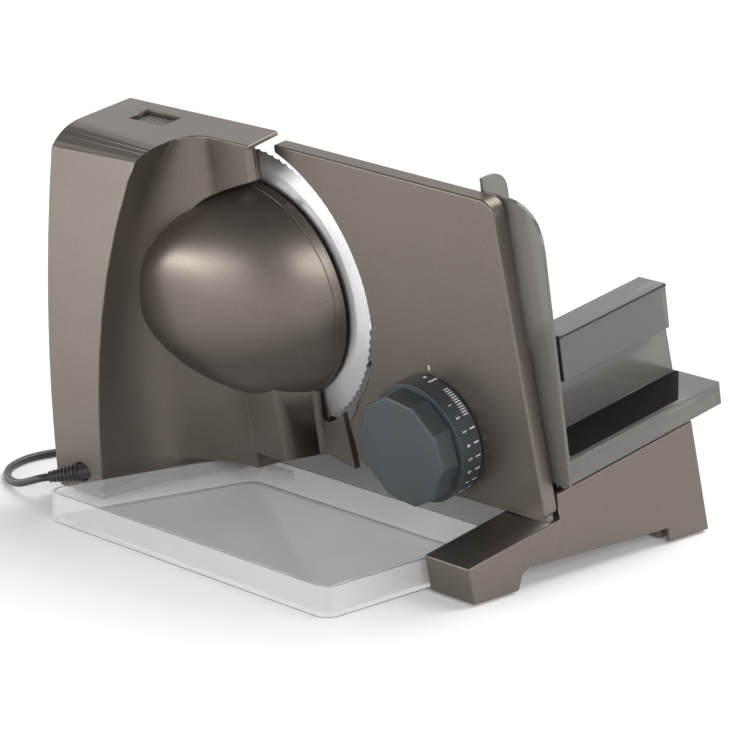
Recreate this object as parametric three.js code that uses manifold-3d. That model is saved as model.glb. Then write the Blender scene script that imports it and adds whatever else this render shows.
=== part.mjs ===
// Electric food slicer with a leaning blade unit, a stop plate set by a dial, a sliding food
// carriage, a clear slice tray and a mains lead.
// Millimetres, +Z up. +X is the user's end of the carriage run and -Y is the slice side.
// The origin is on the standing surface, under the middle of the machine without its lead.
import * as THREE from 'three';
import { mergeVertices } from 'three/addons/utils/BufferGeometryUtils.js';
import Module from 'manifold-3d';

const wasm = await Module();
wasm.setup();

// Fits
const SEAT = 0.3; // gap between pieces that sit against each other
const PLAY = 0.2; // radial play of a pin in its bore
const PASS = 0.5; // gap beside a piece that slides past another
const ROOM = 1.5; // gap around a piece that turns or is put in by hand
const OVERRUN = 5; // how far a cutting tool runs past the body it cuts
const FAR = 400; // longer than any of the bodies
const BITE = 0.6; // how far two bodies of one moulding run into each other

// Leaning frame: y is square to the blade and z runs up the blade's plane
const LEAN = THREE.MathUtils.degToRad(10);
const FRONT_LINE = -65.9; // y of the line on the floor that the frame leans about

// Blade
const BLADE_R = 95;
const BLADE_X = -70.5;
const BLADE_Z = 134;
const BLADE_EDGE_Y = 75.4; // plane of the cutting edge, on the food side
const BLADE_THICK = 1.5;
const BEVEL_WIDTH = 11;
const SCALLOPS = 96;
const SCALLOP_DEPTH = 1.2;
const EDGE_LAND = 0.35; // thickness left at the ground edge
const BLADE_HOLE_R = 20;
const POCKET_GAP = 2.5; // room around the blade in its cover
const BLADE_SHOW = 20.5; // blade left bare outside the foot of the dome
const LOCK_R = 26;
const LOCK_THICK = 1.5;
const LOCK_STUB_R = 9;
const LOCK_STUB = 5;

// Drive: a worm on the motor shaft turns a wheel behind the blade
const WHEEL_TEETH = 60;
const WHEEL_MARGIN = 30.5; // foot of the dome to the pitch line of the wheel
const WHEEL_Y = 47; // middle plane of the wheel
const WHEEL_WIDTH = 10;
const WHEEL_FRONT_ROOM = 2;
const TOOTH_ADDENDUM = 1.3;
const TOOTH_DEDENDUM = 1.7;
const TOOTH_SHARE = 0.4; // share of the pitch that a tooth or a thread fills at the pitch line
const FLANK = Math.tan(THREE.MathUtils.degToRad(20));
const HUB_R = 15;
const FLANGE_R = 30;
const FLANGE_THICK = 2;
const AXLE_R = 6;
const AXLE_SEAT = 16; // how deep the axle sits in the housing
const AXLE_END = 5; // how far the axle stops behind the blade
const WORM_PITCH_R = 6.5;
const WORM_LENGTH = 23;
const WORM_SHAFT_R = 3;
const WORM_BEARING = 8;
const WORM_NECK = 4; // from the thread to its bearing
const WORM_STEPS = 16; // steps in one turn of the thread
const MOTOR_R = 18;
const MOTOR_LENGTH = 52;
const MOTOR_GAP = 22; // from the thread to the motor
const MOTOR_BORE = 10;

// Tower housing
const TOWER_MARGIN = 15; // blade edge to the outer left wall
const ROOF_MARGIN = 14.4; // blade edge to the roof
const TOWER_BACK_Y = 74.4;
const COVER_THICK = 8.4;
const COVER_FLOOR = 5.3; // cover left under the blade
const GUARD_Y = 46; // face of the guard above and below the dome
const GUARD_REACH = 37; // free right end of the hood, from the blade's axis
const GUARD_SLANT = 4; // how far that end draws in towards the cover
const GUARD_CORNER_R = 5;
const HOOD_WALL = 6.5;
const HOOD_ROOF = 3;
const HOOD_START = 8.5; // hollow of the hood, from the blade's axis
const HOOD_DEPTH = 16; // how far before the guard's face the hood's edge runs into the side wall
const HOOD_EDGE = [
  [GUARD_REACH, 23.8], [20.5, 29.5], [2.9, 36.5], [-13.5, 44.6], [-27.5, 56.2], [-33.5, 63.4],
]; // lower edge of the hood, as distances from the blade's axis and below the roof
const TOWER_FLOOR = 8.5; // level underside of the tower
const FACE_FOOT_Y = -36;
const FACE_BULGE_Y = -46.5;
const FACE_TOP_LEFT = [-34.8, 13.4]; // y, and distance below the roof
const FACE_TOP_RIGHT = [-43, 5.4];
const ROLL_START_LEFT = 31.5;
const ROLL_START_RIGHT = 14;
const ROLL_PULL = 0.42;
const WALL_FOOT_X = -133.5; // inner side wall at its foot
const WALL_FOOT_Z = -30;
const WALL_FLARE = 44.7; // how far the wall has flared out at the roof
const FLARE_POWER = 3.1;
const SWEEP_R = 18.3; // sweep of the side wall into the guard, at the roof

// Dome over the drive
const DOME_OFFSET = [2.5, -1]; // middle of the foot, from the blade's axis
const DOME_HEIGHT = 60.6;
const DOME_SHIFT = 54; // how far the crown lies towards the side wall
const DOME_LIFT = 6.4; // how far the crown lies above the middle of the foot
const DOME_FULLNESS = 0.77; // power of the flank's arc, fuller where lower
const DOME_START = THREE.MathUtils.degToRad(20); // where the flank starts on its quarter arc
const DOME_CLOSE = 0.985; // share of the arc after which the crown is flat
const DOME_SIDES = 64;

// Guard panel below the dome
const PANEL_LEFT_X = -100;
const PANEL_LOW_Z = 26;
const PANEL_TOE_Z = 21; // underside at the right end
const PANEL_COVER = 18.5; // how far its top lies inside the foot of the dome
const PANEL_FOLD = 26.5; // fold of the face, from the blade's axis
const PANEL_NOTCH = 41.5; // end of the panel before the blade, from the blade's axis
const PANEL_EDGE_Y = 69.5; // face beside the blade
const PANEL_SLOT = 10; // between the panel and the stop plate

// Switch in the roof
const SWITCH_X = -133;
const SWITCH_Y = 55.5;
const SWITCH_LENGTH = 33;
const SWITCH_WIDTH = 17;
const SWITCH_CORE = 3;
const BUTTON_SINK = 3.4; // top of the button below the roof
const BUTTON_THICK = 3;
const BUTTON_TRAVEL = 2;

// Stop plate and its guides
const PLATE_THICK = 11;
const PLATE_STEP = 0.6; // food face of the plate beyond the plane of the edge
const PLATE_GAP = 3.6; // between the blade and the cut-out of the plate
const PLATE_DROP = 2.4; // top of the plate under the hood's roof
const PLATE_FALL = 5; // how much lower the top is at its right end
const PLATE_TOP_RIGHT = 155.7;
const PLATE_FOOT_RIGHT = [170.5, 31];
const PLATE_FOOT_LEFT = 7;
const PLATE_HEEL_X = 0.8; // lower end of the cut-out
const PLATE_CORNER_R = 10;
const PLATE_FOOT_R = 5;
const PLATE_RELIEF = 8; // how far the front edge of the cut-out is relieved
const LIP_HEIGHT = 4.7;
const LIP_SETBACK = 3;
const LIP_THICK = 6;
const LIP_INSET = 2;
const BOSS_R = 42.4;
const PLATE_TRAVEL = 14;
const ROD_R = 3.2;
const ROD_Z = 35.6;
const RODS = { left: 34, right: 150 };
const ROD_SEAT = 7;
const ROD_REACH = 44; // rod behind the front of the base
const BUSH_START = 6;
const BUSH_LENGTH = 20;
const BUSH_HALF_WIDTH = 9;
const BUSH_HEIGHT = 11;

// Dial
const DIAL_X = 83.7;
const DIAL_Z = 68.6;
const GRIP_SIDES = 10;
const GRIP_R = 36.6;
const GRIP_PHASE = THREE.MathUtils.degToRad(100);
const GRIP_DEPTH = 14.7;
const GRIP_TAPER = 1.2;
const RING_R = 39.1;
const RING_DEPTH = 17;
const DIAL_GAP = 0.5; // between the ring and the plate
const DIAL_TURN = THREE.MathUtils.degToRad(300);
const DIAL_AXLE_R = 5;
const DIAL_AXLE_SEAT = 7;
const CLIP_R = 9;
const CLIP_THICK = 1.3;
const CAM_R = 33.5;
const CAM_WIDTH = 7;
const CAM_FLOOR = 2.1; // ring left at the deepest place of the cam groove
const CAM_LEAD = THREE.MathUtils.degToRad(10);
const CAM_STEPS = 40;
const PIN_R = 2.6;
const PIN_FLANGE_R = 4.2;
const PIN_FLANGE = 3;

// Base
const BASE_RIGHT = 169.5;
const BASE_FRONT_Y = 78;
const BASE_REAR_Y = 201;
const BASE_TOE_Y = 209.5;
const DECK_Z = 43;
const WALL = 3;
const FLOOR_GAP = 1.5; // mouldings above the standing surface
const ARCH_FRONT = [76.7, 13];
const ARCH_REAR = [170.4, 10.5];
const HEEL_Y = 172.4;
const LEG_WIDTH = 38;
const LEG_TOP_Z = 25.8;
const LEG_TIP_Y = -1;
const LEG_FOOT_LENGTH = 38;
const LEG_ARCH = [[40.7, 11.1], [46.7, 14.1]];
const SHOE_BOTTOM = 3.5;
const SHOE_FRONT_Y = -34;
const SHOE_MARGIN = 2.5; // shoe inside the tower's side wall
const SHOE_REAR_Y = 98;
const POST_DEPTH = 24;
const FOOT_BLOCK_Z = 14;
const FOOT_BLOCK = 15; // half the width of the block over a rear foot
const FOOT_R = 10;
const STEM_R = 5;
const STEM_LENGTH = 3;
const FRONT_FOOT_INSET = { right: 19.5, left: 21.5 };
const REAR_FOOT_INSET = { right: 23.5, left: 16.5 };
const FRONT_FOOT_Y = { right: 19, left: -15 };
const REAR_FOOT_Y = 187;

// Carriage on its rail
const TRACK_THICK = 3.5;
const TRACK_INSET = 4;
const GROOVE_Y = 152;
const GROOVE_WIDTH = 12;
const GROOVE_DEPTH = 2.2;
const SHELF_LEFT = 42;
const SHELF_RIGHT = 175.6;
const SHELF_FRONT_Y = 78.6;
const SHELF_REAR_Y = 222.45;
const SHELF_Z = 62.5;
const SHEET = 2.6; // thickness of the carriage's walls
const SKIRT_GAP = 0.7; // skirt of the shelf above the track
const THUMB_RIGHT = 180.5; // right end of the thumb guard
const THUMB_Z = 49;
const THUMB_TOP = 231;
const THUMB_R = 30;
const BACK_X = 137; // right face of the carriage's back wall
const BACK_TOP_Z = 120;
const BACK_SLANT = 5;
const GUSSET_Y = 98.5;
const GUSSET_TOP_Z = 240;
const GUSSET_R = 14;
const RUNNER_INSET = { left: 18, right: 11.6 }; // from the ends of the shelf
const RUNNER_WALL = 6;

// Pusher that hangs on the back wall
const PUSHER_START_Y = 124;
const PUSHER_LENGTH = 96.5;
const PUSHER_LEFT = 117.6;
const PUSHER_SHEET = 2.2;
const PUSHER_SKIRT = 30;
const PRESSER_Z = 76;

// Slice tray
const TRAY_FRONT = -144.9;
const TRAY_REAR = 4;
const TRAY_RIGHT = 125;
const TRAY_FRONT_LEFT = -138.5;
const TRAY_REAR_LEFT = -105.5;
const TRAY_HEIGHT = 20;
const TRAY_WALL = 2.2;
const TRAY_FLOOR = 2.4;
const TRAY_CORNER_R = 10;

// Mains lead
const CORD_R = 2.6;
const GLAND_AT = [-154, -102.9, 19]; // where the lead leaves the tower
const GLAND_DIRECTION = [-0.76, -0.62, -0.2];
const GLAND_R = 5.6;
const GLAND_TIP_R = 3.6;
const GLAND_LENGTH = 22;
const GLAND_SEAT = 8;
const CORD_STEPS = 64;
const CORD_SIDES = 8;
const CORD_LIFT = 0.1; // free lead above the standing surface
const CORD_ROUTE = [
  [-196, -122, 3.2], [-218, -114, 0.5], [-235, -98, CORD_LIFT], [-242.5, -76, CORD_LIFT],
  [-239, -52, CORD_LIFT], [-226, -28, CORD_LIFT], [-213, -4, CORD_LIFT], [-206, 16, 2 * CORD_LIFT],
]; // x and y of the free lead with the height of its underside
const COIL_AT = [-240, 44];
const COIL_R = 29; // middle of the turns
const COIL_TURNS = 4;
const COIL_STEPS = 24; // steps in one turn
const COIL_SIDES = 6;
const COIL_PITCH = 5.9; // from turn to turn and from layer to layer
const COIL_TAIL = 28; // straight lead between the coil and the plug
const TIE_THICK = 0.8;
const TIE_WIDTH = 7;
const PLUG_WIDTH = 35;
const PLUG_THICK = 13.7;
const PLUG_LENGTH = 34;
const PLUG_NOSE = 12;
const PLUG_NOSE_R = 4.2;
const PLUG_CORNER_R = 9;
const PLUG_PIN_R = 2;
const PLUG_PIN = 19;
const PLUG_PIN_SPACING = 18.6;

// Values that follow from those above
const TOWER_LEFT = BLADE_X - BLADE_R - TOWER_MARGIN;
const ROOF_Z = BLADE_Z + BLADE_R + ROOF_MARGIN;
const POCKET_R = BLADE_R + POCKET_GAP;
const DOME_R = BLADE_R - BLADE_SHOW;
const WHEEL_PITCH_R = DOME_R - WHEEL_MARGIN;
const GUARD_RIGHT = BLADE_X + GUARD_REACH;
const SWEEP_END_X = WALL_FOOT_X + WALL_FLARE + SWEEP_R;
const BLADE_BACK_Y = BLADE_EDGE_Y - BLADE_THICK;
const FLANGE_BACK_Y = BLADE_BACK_Y - SEAT;
const COVER_Y = TOWER_BACK_Y - COVER_THICK;
const POCKET_Y = COVER_Y + COVER_FLOOR;
const WHEEL_ROOM_Y = WHEEL_Y - WHEEL_WIDTH / 2 - WHEEL_FRONT_ROOM;
const WHEEL_ROOM_R = WHEEL_PITCH_R + TOOTH_ADDENDUM + ROOM;
const WORM_X = BLADE_X - WHEEL_PITCH_R - WORM_PITCH_R;
const WORM_ROOM_R = WORM_PITCH_R + TOOTH_ADDENDUM + ROOM;
const WORM_LOW = BLADE_Z - WORM_LENGTH / 2;
const WORM_HIGH = BLADE_Z + WORM_LENGTH / 2;
const BEARING_TOP = WORM_LOW - WORM_NECK;
const BEARING_LOW = BEARING_TOP - WORM_BEARING;
const MOTOR_LOW = WORM_HIGH + MOTOR_GAP;
const MOTOR_HIGH = MOTOR_LOW + MOTOR_LENGTH;
const PITCH = 2 * Math.PI * WHEEL_PITCH_R / WHEEL_TEETH;
const BUTTON_TOP = ROOF_Z - BUTTON_SINK;
const CORE_TOP = BUTTON_TOP - BUTTON_THICK - BUTTON_TRAVEL - SEAT;
const WELL_FLOOR = CORE_TOP - SWITCH_CORE - SEAT;
const PLATE_FOOD_Y = BLADE_EDGE_Y + PLATE_STEP;
const PLATE_FRONT_Y = PLATE_FOOD_Y - PLATE_THICK;
const PLATE_ARC_R = BLADE_R + PLATE_GAP;
const PLATE_LEFT = GUARD_RIGHT + 2 * PASS;
const PLATE_TOP_Z = ROOF_Z - HOOD_ROOF - PLATE_DROP;
const PLATE_ARC_END = Math.acos((PLATE_LEFT - BLADE_X) / PLATE_ARC_R);
const PLATE_ARC_START = -Math.acos((PLATE_HEEL_X - BLADE_X) / PLATE_ARC_R);
const RING_BACK_Y = PLATE_FRONT_Y - DIAL_GAP;
const RING_FRONT_Y = RING_BACK_Y - RING_DEPTH;
const GRIP_BACK_Y = RING_FRONT_Y - SEAT;
const CLIP_BACK_Y = PLATE_FOOD_Y - SEAT;
const CLIP_FRONT_Y = CLIP_BACK_Y - CLIP_THICK;
const PIN_Z = DIAL_Z - CAM_R;
const PIN_TIP_Y = RING_FRONT_Y + CAM_FLOOR + SEAT;
const SHOE_RIGHT = WALL_FOOT_X - SHOE_MARGIN;
const FEET = {
  front_right: [BASE_RIGHT - FRONT_FOOT_INSET.right, FRONT_FOOT_Y.right, FLOOR_GAP],
  rear_right: [BASE_RIGHT - REAR_FOOT_INSET.right, REAR_FOOT_Y, FLOOR_GAP],
  rear_left: [TOWER_LEFT + REAR_FOOT_INSET.left, REAR_FOOT_Y, FLOOR_GAP],
  front_left: [TOWER_LEFT + FRONT_FOOT_INSET.left, FRONT_FOOT_Y.left, SHOE_BOTTOM],
};
const BEAM_BACK_Y = BASE_FRONT_Y + WALL;
const DECK_UNDER_Z = DECK_Z - WALL;
const BUSH_FRONT_Y = BEAM_BACK_Y + BUSH_START;
const BUSH_TOP = DECK_UNDER_Z - SEAT;
const TRACK_Z = DECK_Z + SEAT;
const TRACK_TOP_Z = TRACK_Z + TRACK_THICK;
const SKIRT_Z = TRACK_TOP_Z + SKIRT_GAP;
const SHELF_UNDER_Z = SHELF_Z - SHEET;
const PUSHER_TOP = BACK_TOP_Z + PASS + PUSHER_SHEET;
const PUSHER_RIGHT = BACK_X + PASS + PUSHER_SHEET;
const COIL_Z = TIE_THICK + SEAT + CORD_R;
const COIL_OUTER = COIL_R + COIL_PITCH * COIL_TURNS / 4;

// Materials
const finish = (color, roughness, metalness, opacity = 1) => new THREE.MeshStandardMaterial({
  color, roughness, metalness, opacity, transparent: opacity < 1,
});
const bodyFinish = () => finish(0x6e665f, 0.36, 0.6);
const steelFinish = () => finish(0xd4d6d8, 0.25, 1);
const slateFinish = () => finish(0x454c51, 0.5, 0);
const blackFinish = () => finish(0x1a1a1b, 0.55, 0);
const smokeFinish = () => finish(0x6a6866, 0.15, 0, 0.5);
const clearFinish = () => finish(0xf2f4f4, 0.08, 0, 0.25);
const whiteFinish = () => finish(0xdad8d2, 0.6, 0);
const rubberFinish = () => finish(0xc9c6bf, 0.8, 0);

// Turns a closed geometry into a solid that can be joined and cut.
function solid(geometry) {
  const bare = geometry.clone();
  bare.deleteAttribute('normal');
  bare.deleteAttribute('uv');
  const welded = mergeVertices(bare, 1e-4);
  const source = welded.index.array;
  const triangles = [];
  for (let i = 0; i < source.length; i += 3) {
    const [a, b, c] = [source[i], source[i + 1], source[i + 2]];
    if (a !== b && b !== c && a !== c) triangles.push(a, b, c);
  }
  const vertProperties = new Float32Array(welded.attributes.position.array);
  const body = bodyOf(vertProperties, triangles);
  return body.volume() > 0 ? body : bodyOf(vertProperties, triangles.reverse());
}

function bodyOf(vertProperties, triangles) {
  const mesh = new wasm.Mesh({ numProp: 3, vertProperties, triVerts: new Uint32Array(triangles) });
  return new wasm.Manifold(mesh);
}

function geometryOf(body) {
  const mesh = body.getMesh();
  const geometry = new THREE.BufferGeometry();
  geometry.setAttribute('position', new THREE.BufferAttribute(new Float32Array(mesh.vertProperties), 3));
  geometry.setIndex(new THREE.BufferAttribute(new Uint32Array(mesh.triVerts), 1));
  geometry.computeVertexNormals();
  return geometry;
}

const join = (...bodies) => bodies.reduce((sum, body) => sum.add(body));
const cut = (body, ...tools) => tools.reduce((rest, tool) => rest.subtract(tool), body);
const samples = (count, place) => Array.from({ length: count + 1 }, (_, i) => place(i / count));
const mix = (a, b, t) => a + (b - a) * t;
const around = (centre, half) => [centre - half, centre + half];

function block([x0, x1], [y0, y1], [z0, z1]) {
  const geometry = new THREE.BoxGeometry(x1 - x0, y1 - y0, z1 - z0);
  geometry.translate((x0 + x1) / 2, (y0 + y1) / 2, (z0 + z1) / 2);
  return solid(geometry);
}

// A round bar along y or z, about the point given for the other two axes.
function bar(axis, radius, [from, to], [u, v], sides = 24, endRadius = radius) {
  const geometry = new THREE.CylinderGeometry(endRadius, radius, to - from, sides);
  const middle = (from + to) / 2;
  if (axis === 'y') geometry.translate(u, middle, v);
  if (axis === 'z') geometry.rotateX(Math.PI / 2).translate(u, v, middle);
  return solid(geometry);
}

// The geometry of a bar along a direction, between two distances from a point.
function spike(point, direction, [radius, endRadius], [from, to]) {
  const geometry = new THREE.CylinderGeometry(endRadius, radius, to - from, 16);
  geometry.translate(0, (from + to) / 2, 0);
  const turn = new THREE.Quaternion().setFromUnitVectors(new THREE.Vector3(0, 1, 0), direction);
  return geometry.applyQuaternion(turn).translate(...point);
}

// A closed profile of radius and y turned about an axis along y.
function turned(profile, [x, z], sides = 32) {
  const points = [...profile, profile[0]].map(([r, y]) => new THREE.Vector2(r, y));
  return solid(new THREE.LatheGeometry(points, sides).translate(x, 0, z));
}

// An outline whose corners are [u, v] or [u, v, radius].
function outline(corners) {
  const shape = new THREE.Shape();
  corners.forEach(([u, v, radius = 0], i) => {
    const corner = new THREE.Vector2(u, v);
    const before = new THREE.Vector2(...corners.at(i - 1).slice(0, 2));
    const after = new THREE.Vector2(...corners[(i + 1) % corners.length].slice(0, 2));
    const enter = corner.clone().add(before.sub(corner).setLength(radius));
    const leave = corner.clone().add(after.sub(corner).setLength(radius));
    if (i === 0) shape.moveTo(enter.x, enter.y);
    else shape.lineTo(enter.x, enter.y);
    if (radius > 0) shape.quadraticCurveTo(u, v, leave.x, leave.y);
  });
  shape.closePath();
  return shape;
}

const AXES = {
  x: [new THREE.Vector3(0, 1, 0), new THREE.Vector3(0, 0, 1), new THREE.Vector3(1, 0, 0)],
  y: [new THREE.Vector3(1, 0, 0), new THREE.Vector3(0, 0, 1), new THREE.Vector3(0, -1, 0)],
  z: [new THREE.Vector3(1, 0, 0), new THREE.Vector3(0, 1, 0), new THREE.Vector3(0, 0, 1)],
};

// Sweeps an outline straight along an axis. It lies in y, z for x, in x, z for y and in x, y for z.
function prism(axis, corners, [from, to], curveSegments = 6) {
  const options = { depth: to - from, bevelEnabled: false, curveSegments };
  const geometry = new THREE.ExtrudeGeometry(outline(corners), options);
  const start = axis === 'y' ? -to : from;
  const place = new THREE.Matrix4().makeBasis(...AXES[axis]);
  place.setPosition(AXES[axis][2].clone().multiplyScalar(start));
  return solid(geometry.applyMatrix4(place));
}

// A skin through rings of points with flat ends. `flat` gives a point in the plane of its ring.
function loft(rings, flat) {
  const count = rings[0].length;
  const index = [];
  for (let r = 0; r + 1 < rings.length; r += 1) {
    for (let i = 0; i < count; i += 1) {
      const a = r * count + i;
      const b = r * count + (i + 1) % count;
      index.push(a, b, b + count, a, b + count, a + count);
    }
  }
  for (const last of [false, true]) {
    const ring = (last ? rings.at(-1) : rings[0]).map(flat);
    const offset = last ? (rings.length - 1) * count : 0;
    const along = Math.sign(THREE.ShapeUtils.area(ring));
    for (const [a, b, c] of THREE.ShapeUtils.triangulateShape(ring, [])) {
      const same = Math.sign(THREE.ShapeUtils.area([ring[a], ring[b], ring[c]])) === along;
      const [p, q] = same === last ? [b, c] : [c, b];
      index.push(offset + a, offset + p, offset + q);
    }
  }
  const geometry = new THREE.BufferGeometry();
  const positions = rings.flat().flatMap((point) => point.toArray());
  geometry.setAttribute('position', new THREE.Float32BufferAttribute(positions, 3));
  geometry.setIndex(index);
  return solid(geometry);
}

const leaning = new THREE.Group();
leaning.rotation.x = LEAN;
leaning.position.y = FRONT_LINE;
const standing = new THREE.Group();
const slicer = new THREE.Group();
slicer.add(leaning, standing);

function piece(group, name, body, material) {
  const mesh = new THREE.Mesh(geometryOf(body), material);
  mesh.name = name;
  group.add(mesh);
}

// A point of the level side view in the leaning frame, and solids of the level frames in that frame.
// The level side view starts at the front line, the standing frame at the origin.
const lean = ([y, z]) => [y * Math.cos(LEAN) + z * Math.sin(LEAN), z * Math.cos(LEAN) - y * Math.sin(LEAN)];
const leanSolid = (body) => solid(geometryOf(body).rotateX(-LEAN));
const fromStanding = (geometry) => solid(geometry.translate(0, -FRONT_LINE, 0).rotateX(-LEAN));

const onBlade = [BLADE_X, BLADE_Z];
const onDial = [DIAL_X, DIAL_Z];
const onWorm = [WORM_X, WHEEL_Y];
const onPin = [DIAL_X, PIN_Z];

// Tower: a side profile lofted across, swept out beside the dome
function towerProfile(x, across) {
  const [topY, drop] = [0, 1].map((i) => mix(FACE_TOP_LEFT[i], FACE_TOP_RIGHT[i], across));
  const topZ = ROOF_Z - drop;
  const face = new THREE.QuadraticBezierCurve(
    new THREE.Vector2(FACE_FOOT_Y, TOWER_FLOOR),
    new THREE.Vector2(FACE_BULGE_Y, (TOWER_FLOOR + topZ) / 2),
    new THREE.Vector2(topY, topZ),
  ).getPoints(8).map((p) => lean([p.x, p.y]));
  const edge = face.at(-1);
  const rollY = mix(ROLL_START_LEFT, ROLL_START_RIGHT, across);
  const roll = new THREE.QuadraticBezierCurve(
    new THREE.Vector2(...edge),
    new THREE.Vector2(mix(edge[0], rollY, ROLL_PULL), ROOF_Z),
    new THREE.Vector2(rollY, ROOF_Z),
  ).getPoints(6).slice(1).map((p) => [p.x, p.y]);
  const backFoot = (TOWER_FLOOR - TOWER_BACK_Y * Math.sin(LEAN)) / Math.cos(LEAN);
  const back = [[TOWER_BACK_Y, ROOF_Z], [TOWER_BACK_Y, backFoot]];
  return [...face, ...roll, ...back].map(([y, z]) => new THREE.Vector3(x, y, z));
}

const wallX = (z) => WALL_FOOT_X
  + WALL_FLARE * ((z - WALL_FOOT_Z) / (ROOF_Z - WALL_FOOT_Z)) ** FLARE_POWER;

// The space beside the tower: its side wall flares upwards and sweeps round into the guard's face.
function sweepSpace() {
  const rings = samples(12, (t) => {
    const z = mix(WALL_FOOT_Z, ROOF_Z + OVERRUN, t);
    const radius = SWEEP_END_X - wallX(z);
    const sweep = samples(12, (s) => [
      SWEEP_END_X - radius * Math.sin(s * Math.PI / 2),
      GUARD_Y - radius * (1 - Math.cos(s * Math.PI / 2)),
    ]);
    return [[FAR, GUARD_Y], ...sweep, [wallX(z), -FAR], [FAR, -FAR]]
      .map(([x, y]) => new THREE.Vector3(x, y, z));
  });
  return loft(rings, (p) => new THREE.Vector2(p.x, p.y));
}

// Circles that shrink and shift towards the side wall as they rise off the blade.
function dome() {
  const low = Math.sin(DOME_START);
  const rings = samples(12, (t) => {
    const rise = mix(DOME_START, Math.PI / 2, t * DOME_CLOSE);
    const spread = (Math.cos(rise) / Math.cos(DOME_START)) ** DOME_FULLNESS;
    const x = BLADE_X + DOME_OFFSET[0] - DOME_SHIFT * (1 - spread);
    const y = POCKET_Y - DOME_HEIGHT * (Math.sin(rise) - low) / (1 - low);
    const z = BLADE_Z + DOME_OFFSET[1] + DOME_LIFT * (1 - spread);
    return Array.from({ length: DOME_SIDES }, (_, i) => {
      const angle = i / DOME_SIDES * 2 * Math.PI;
      const radius = DOME_R * spread;
      return new THREE.Vector3(x + radius * Math.cos(angle), y, z + radius * Math.sin(angle));
    });
  });
  return loft(rings, (p) => new THREE.Vector2(p.x, p.z));
}

const plateArc = (angle) => [
  BLADE_X + PLATE_ARC_R * Math.cos(angle), BLADE_Z + PLATE_ARC_R * Math.sin(angle),
];
const plateHeel = plateArc(PLATE_ARC_START);

// Guard below the dome. Its face folds back to the blade, ends before it and goes on under it.
function lowerGuard() {
  const topZ = BLADE_Z - DOME_R + PANEL_COVER;
  const foldX = BLADE_X + PANEL_FOLD;
  const notchX = BLADE_X + PANEL_NOTCH;
  const panel = prism('y', [
    [PANEL_LEFT_X, topZ], [PANEL_LEFT_X, PANEL_LOW_Z], [notchX, PANEL_LOW_Z],
    [PLATE_FOOT_LEFT - PANEL_SLOT, PANEL_TOE_Z], [plateHeel[0] - PANEL_SLOT, plateHeel[1]],
    [plateHeel[0] - PANEL_SLOT, topZ],
  ], [GUARD_Y, TOWER_BACK_Y]);
  const fold = prism('z', [
    [foldX, GUARD_Y], [foldX, GUARD_Y - OVERRUN], [FAR, GUARD_Y - OVERRUN], [FAR, PANEL_EDGE_Y],
    [notchX, PANEL_EDGE_Y],
  ], [-FAR, FAR]);
  const notch = cut(bar('y', POCKET_R, [GUARD_Y - OVERRUN, FAR], onBlade, 96),
    block([-FAR, notchX], [-FAR, FAR], [-FAR, FAR]));
  return cut(panel, fold, notch);
}

const trayCorners = (grow, radius) => [
  [TRAY_FRONT_LEFT - grow, TRAY_FRONT - grow, radius], [TRAY_RIGHT + grow, TRAY_FRONT - grow, radius],
  [TRAY_RIGHT + grow, TRAY_REAR + grow, radius], [TRAY_REAR_LEFT - grow, TRAY_REAR + grow, radius],
];

// Room for the tray under the side of the tower.
function trayTunnel() {
  const corners = trayCorners(2 * ROOM, 0).map(([x, y]) => [x, y - FRONT_LINE]);
  return prism('z', corners, [-FAR, TRAY_HEIGHT + 2 * ROOM]);
}

// The space at the right end of the hood: the end is slanted, and its corner is rounded under the roof.
function hoodEnd() {
  const slanted = prism('z', [
    [GUARD_RIGHT, GUARD_Y], [FAR, GUARD_Y], [FAR, TOWER_BACK_Y + OVERRUN],
    [GUARD_RIGHT - GUARD_SLANT, TOWER_BACK_Y + OVERRUN],
  ], [BLADE_Z, FAR]);
  const span = [BLADE_Z, ROOF_Z - HOOD_ROOF];
  const middle = [GUARD_RIGHT - GUARD_CORNER_R, GUARD_Y + GUARD_CORNER_R];
  const corner = cut(block([middle[0], FAR], [-FAR, middle[1]], span),
    bar('z', GUARD_CORNER_R, [-FAR, FAR], middle, 32));
  return join(slanted, corner);
}

// Outside shape of the housing and its cover together.
function bladeUnit() {
  const rings = [0, 1].map((t) => towerProfile(mix(TOWER_LEFT, GUARD_RIGHT, t), t));
  const edge = new THREE.SplineCurve(HOOD_EDGE.map(([x, drop]) => new THREE.Vector2(BLADE_X + x, ROOF_Z - drop)))
    .getPoints(16).map((p) => [p.x, p.y]);
  const openSide = prism('y', [
    [SWEEP_END_X, -FAR], [FAR, -FAR], [FAR, edge[0][1]], ...edge, [edge.at(-1)[0], BLADE_Z],
    [SWEEP_END_X, BLADE_Z],
  ], [GUARD_Y - HOOD_DEPTH, FAR]);
  const hollow = block([BLADE_X + HOOD_START, FAR], [GUARD_Y + HOOD_WALL, FAR], [BLADE_Z, ROOF_Z - HOOD_ROOF]);
  const tower = cut(loft(rings, (p) => new THREE.Vector2(p.y, p.z)), sweepSpace(), openSide, hollow, hoodEnd());
  return cut(join(tower, lowerGuard(), dome()), leanSolid(trayTunnel()));
}

function driveRoom() {
  const wheel = bar('y', WHEEL_ROOM_R, [WHEEL_ROOM_Y, FAR], onBlade, 48);
  const worm = block(around(WORM_X, WORM_ROOM_R), [WHEEL_Y - WORM_ROOM_R, COVER_Y],
    [BEARING_LOW - SEAT, MOTOR_LOW]);
  const motorSpan = [MOTOR_LOW - SEAT, MOTOR_HIGH + SEAT];
  const motor = bar('z', MOTOR_R + PASS, motorSpan, onWorm, 32);
  const mouth = block(around(WORM_X, MOTOR_R + PASS), [WHEEL_Y, COVER_Y], motorSpan);
  return join(wheel, worm, motor, mouth);
}

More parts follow.
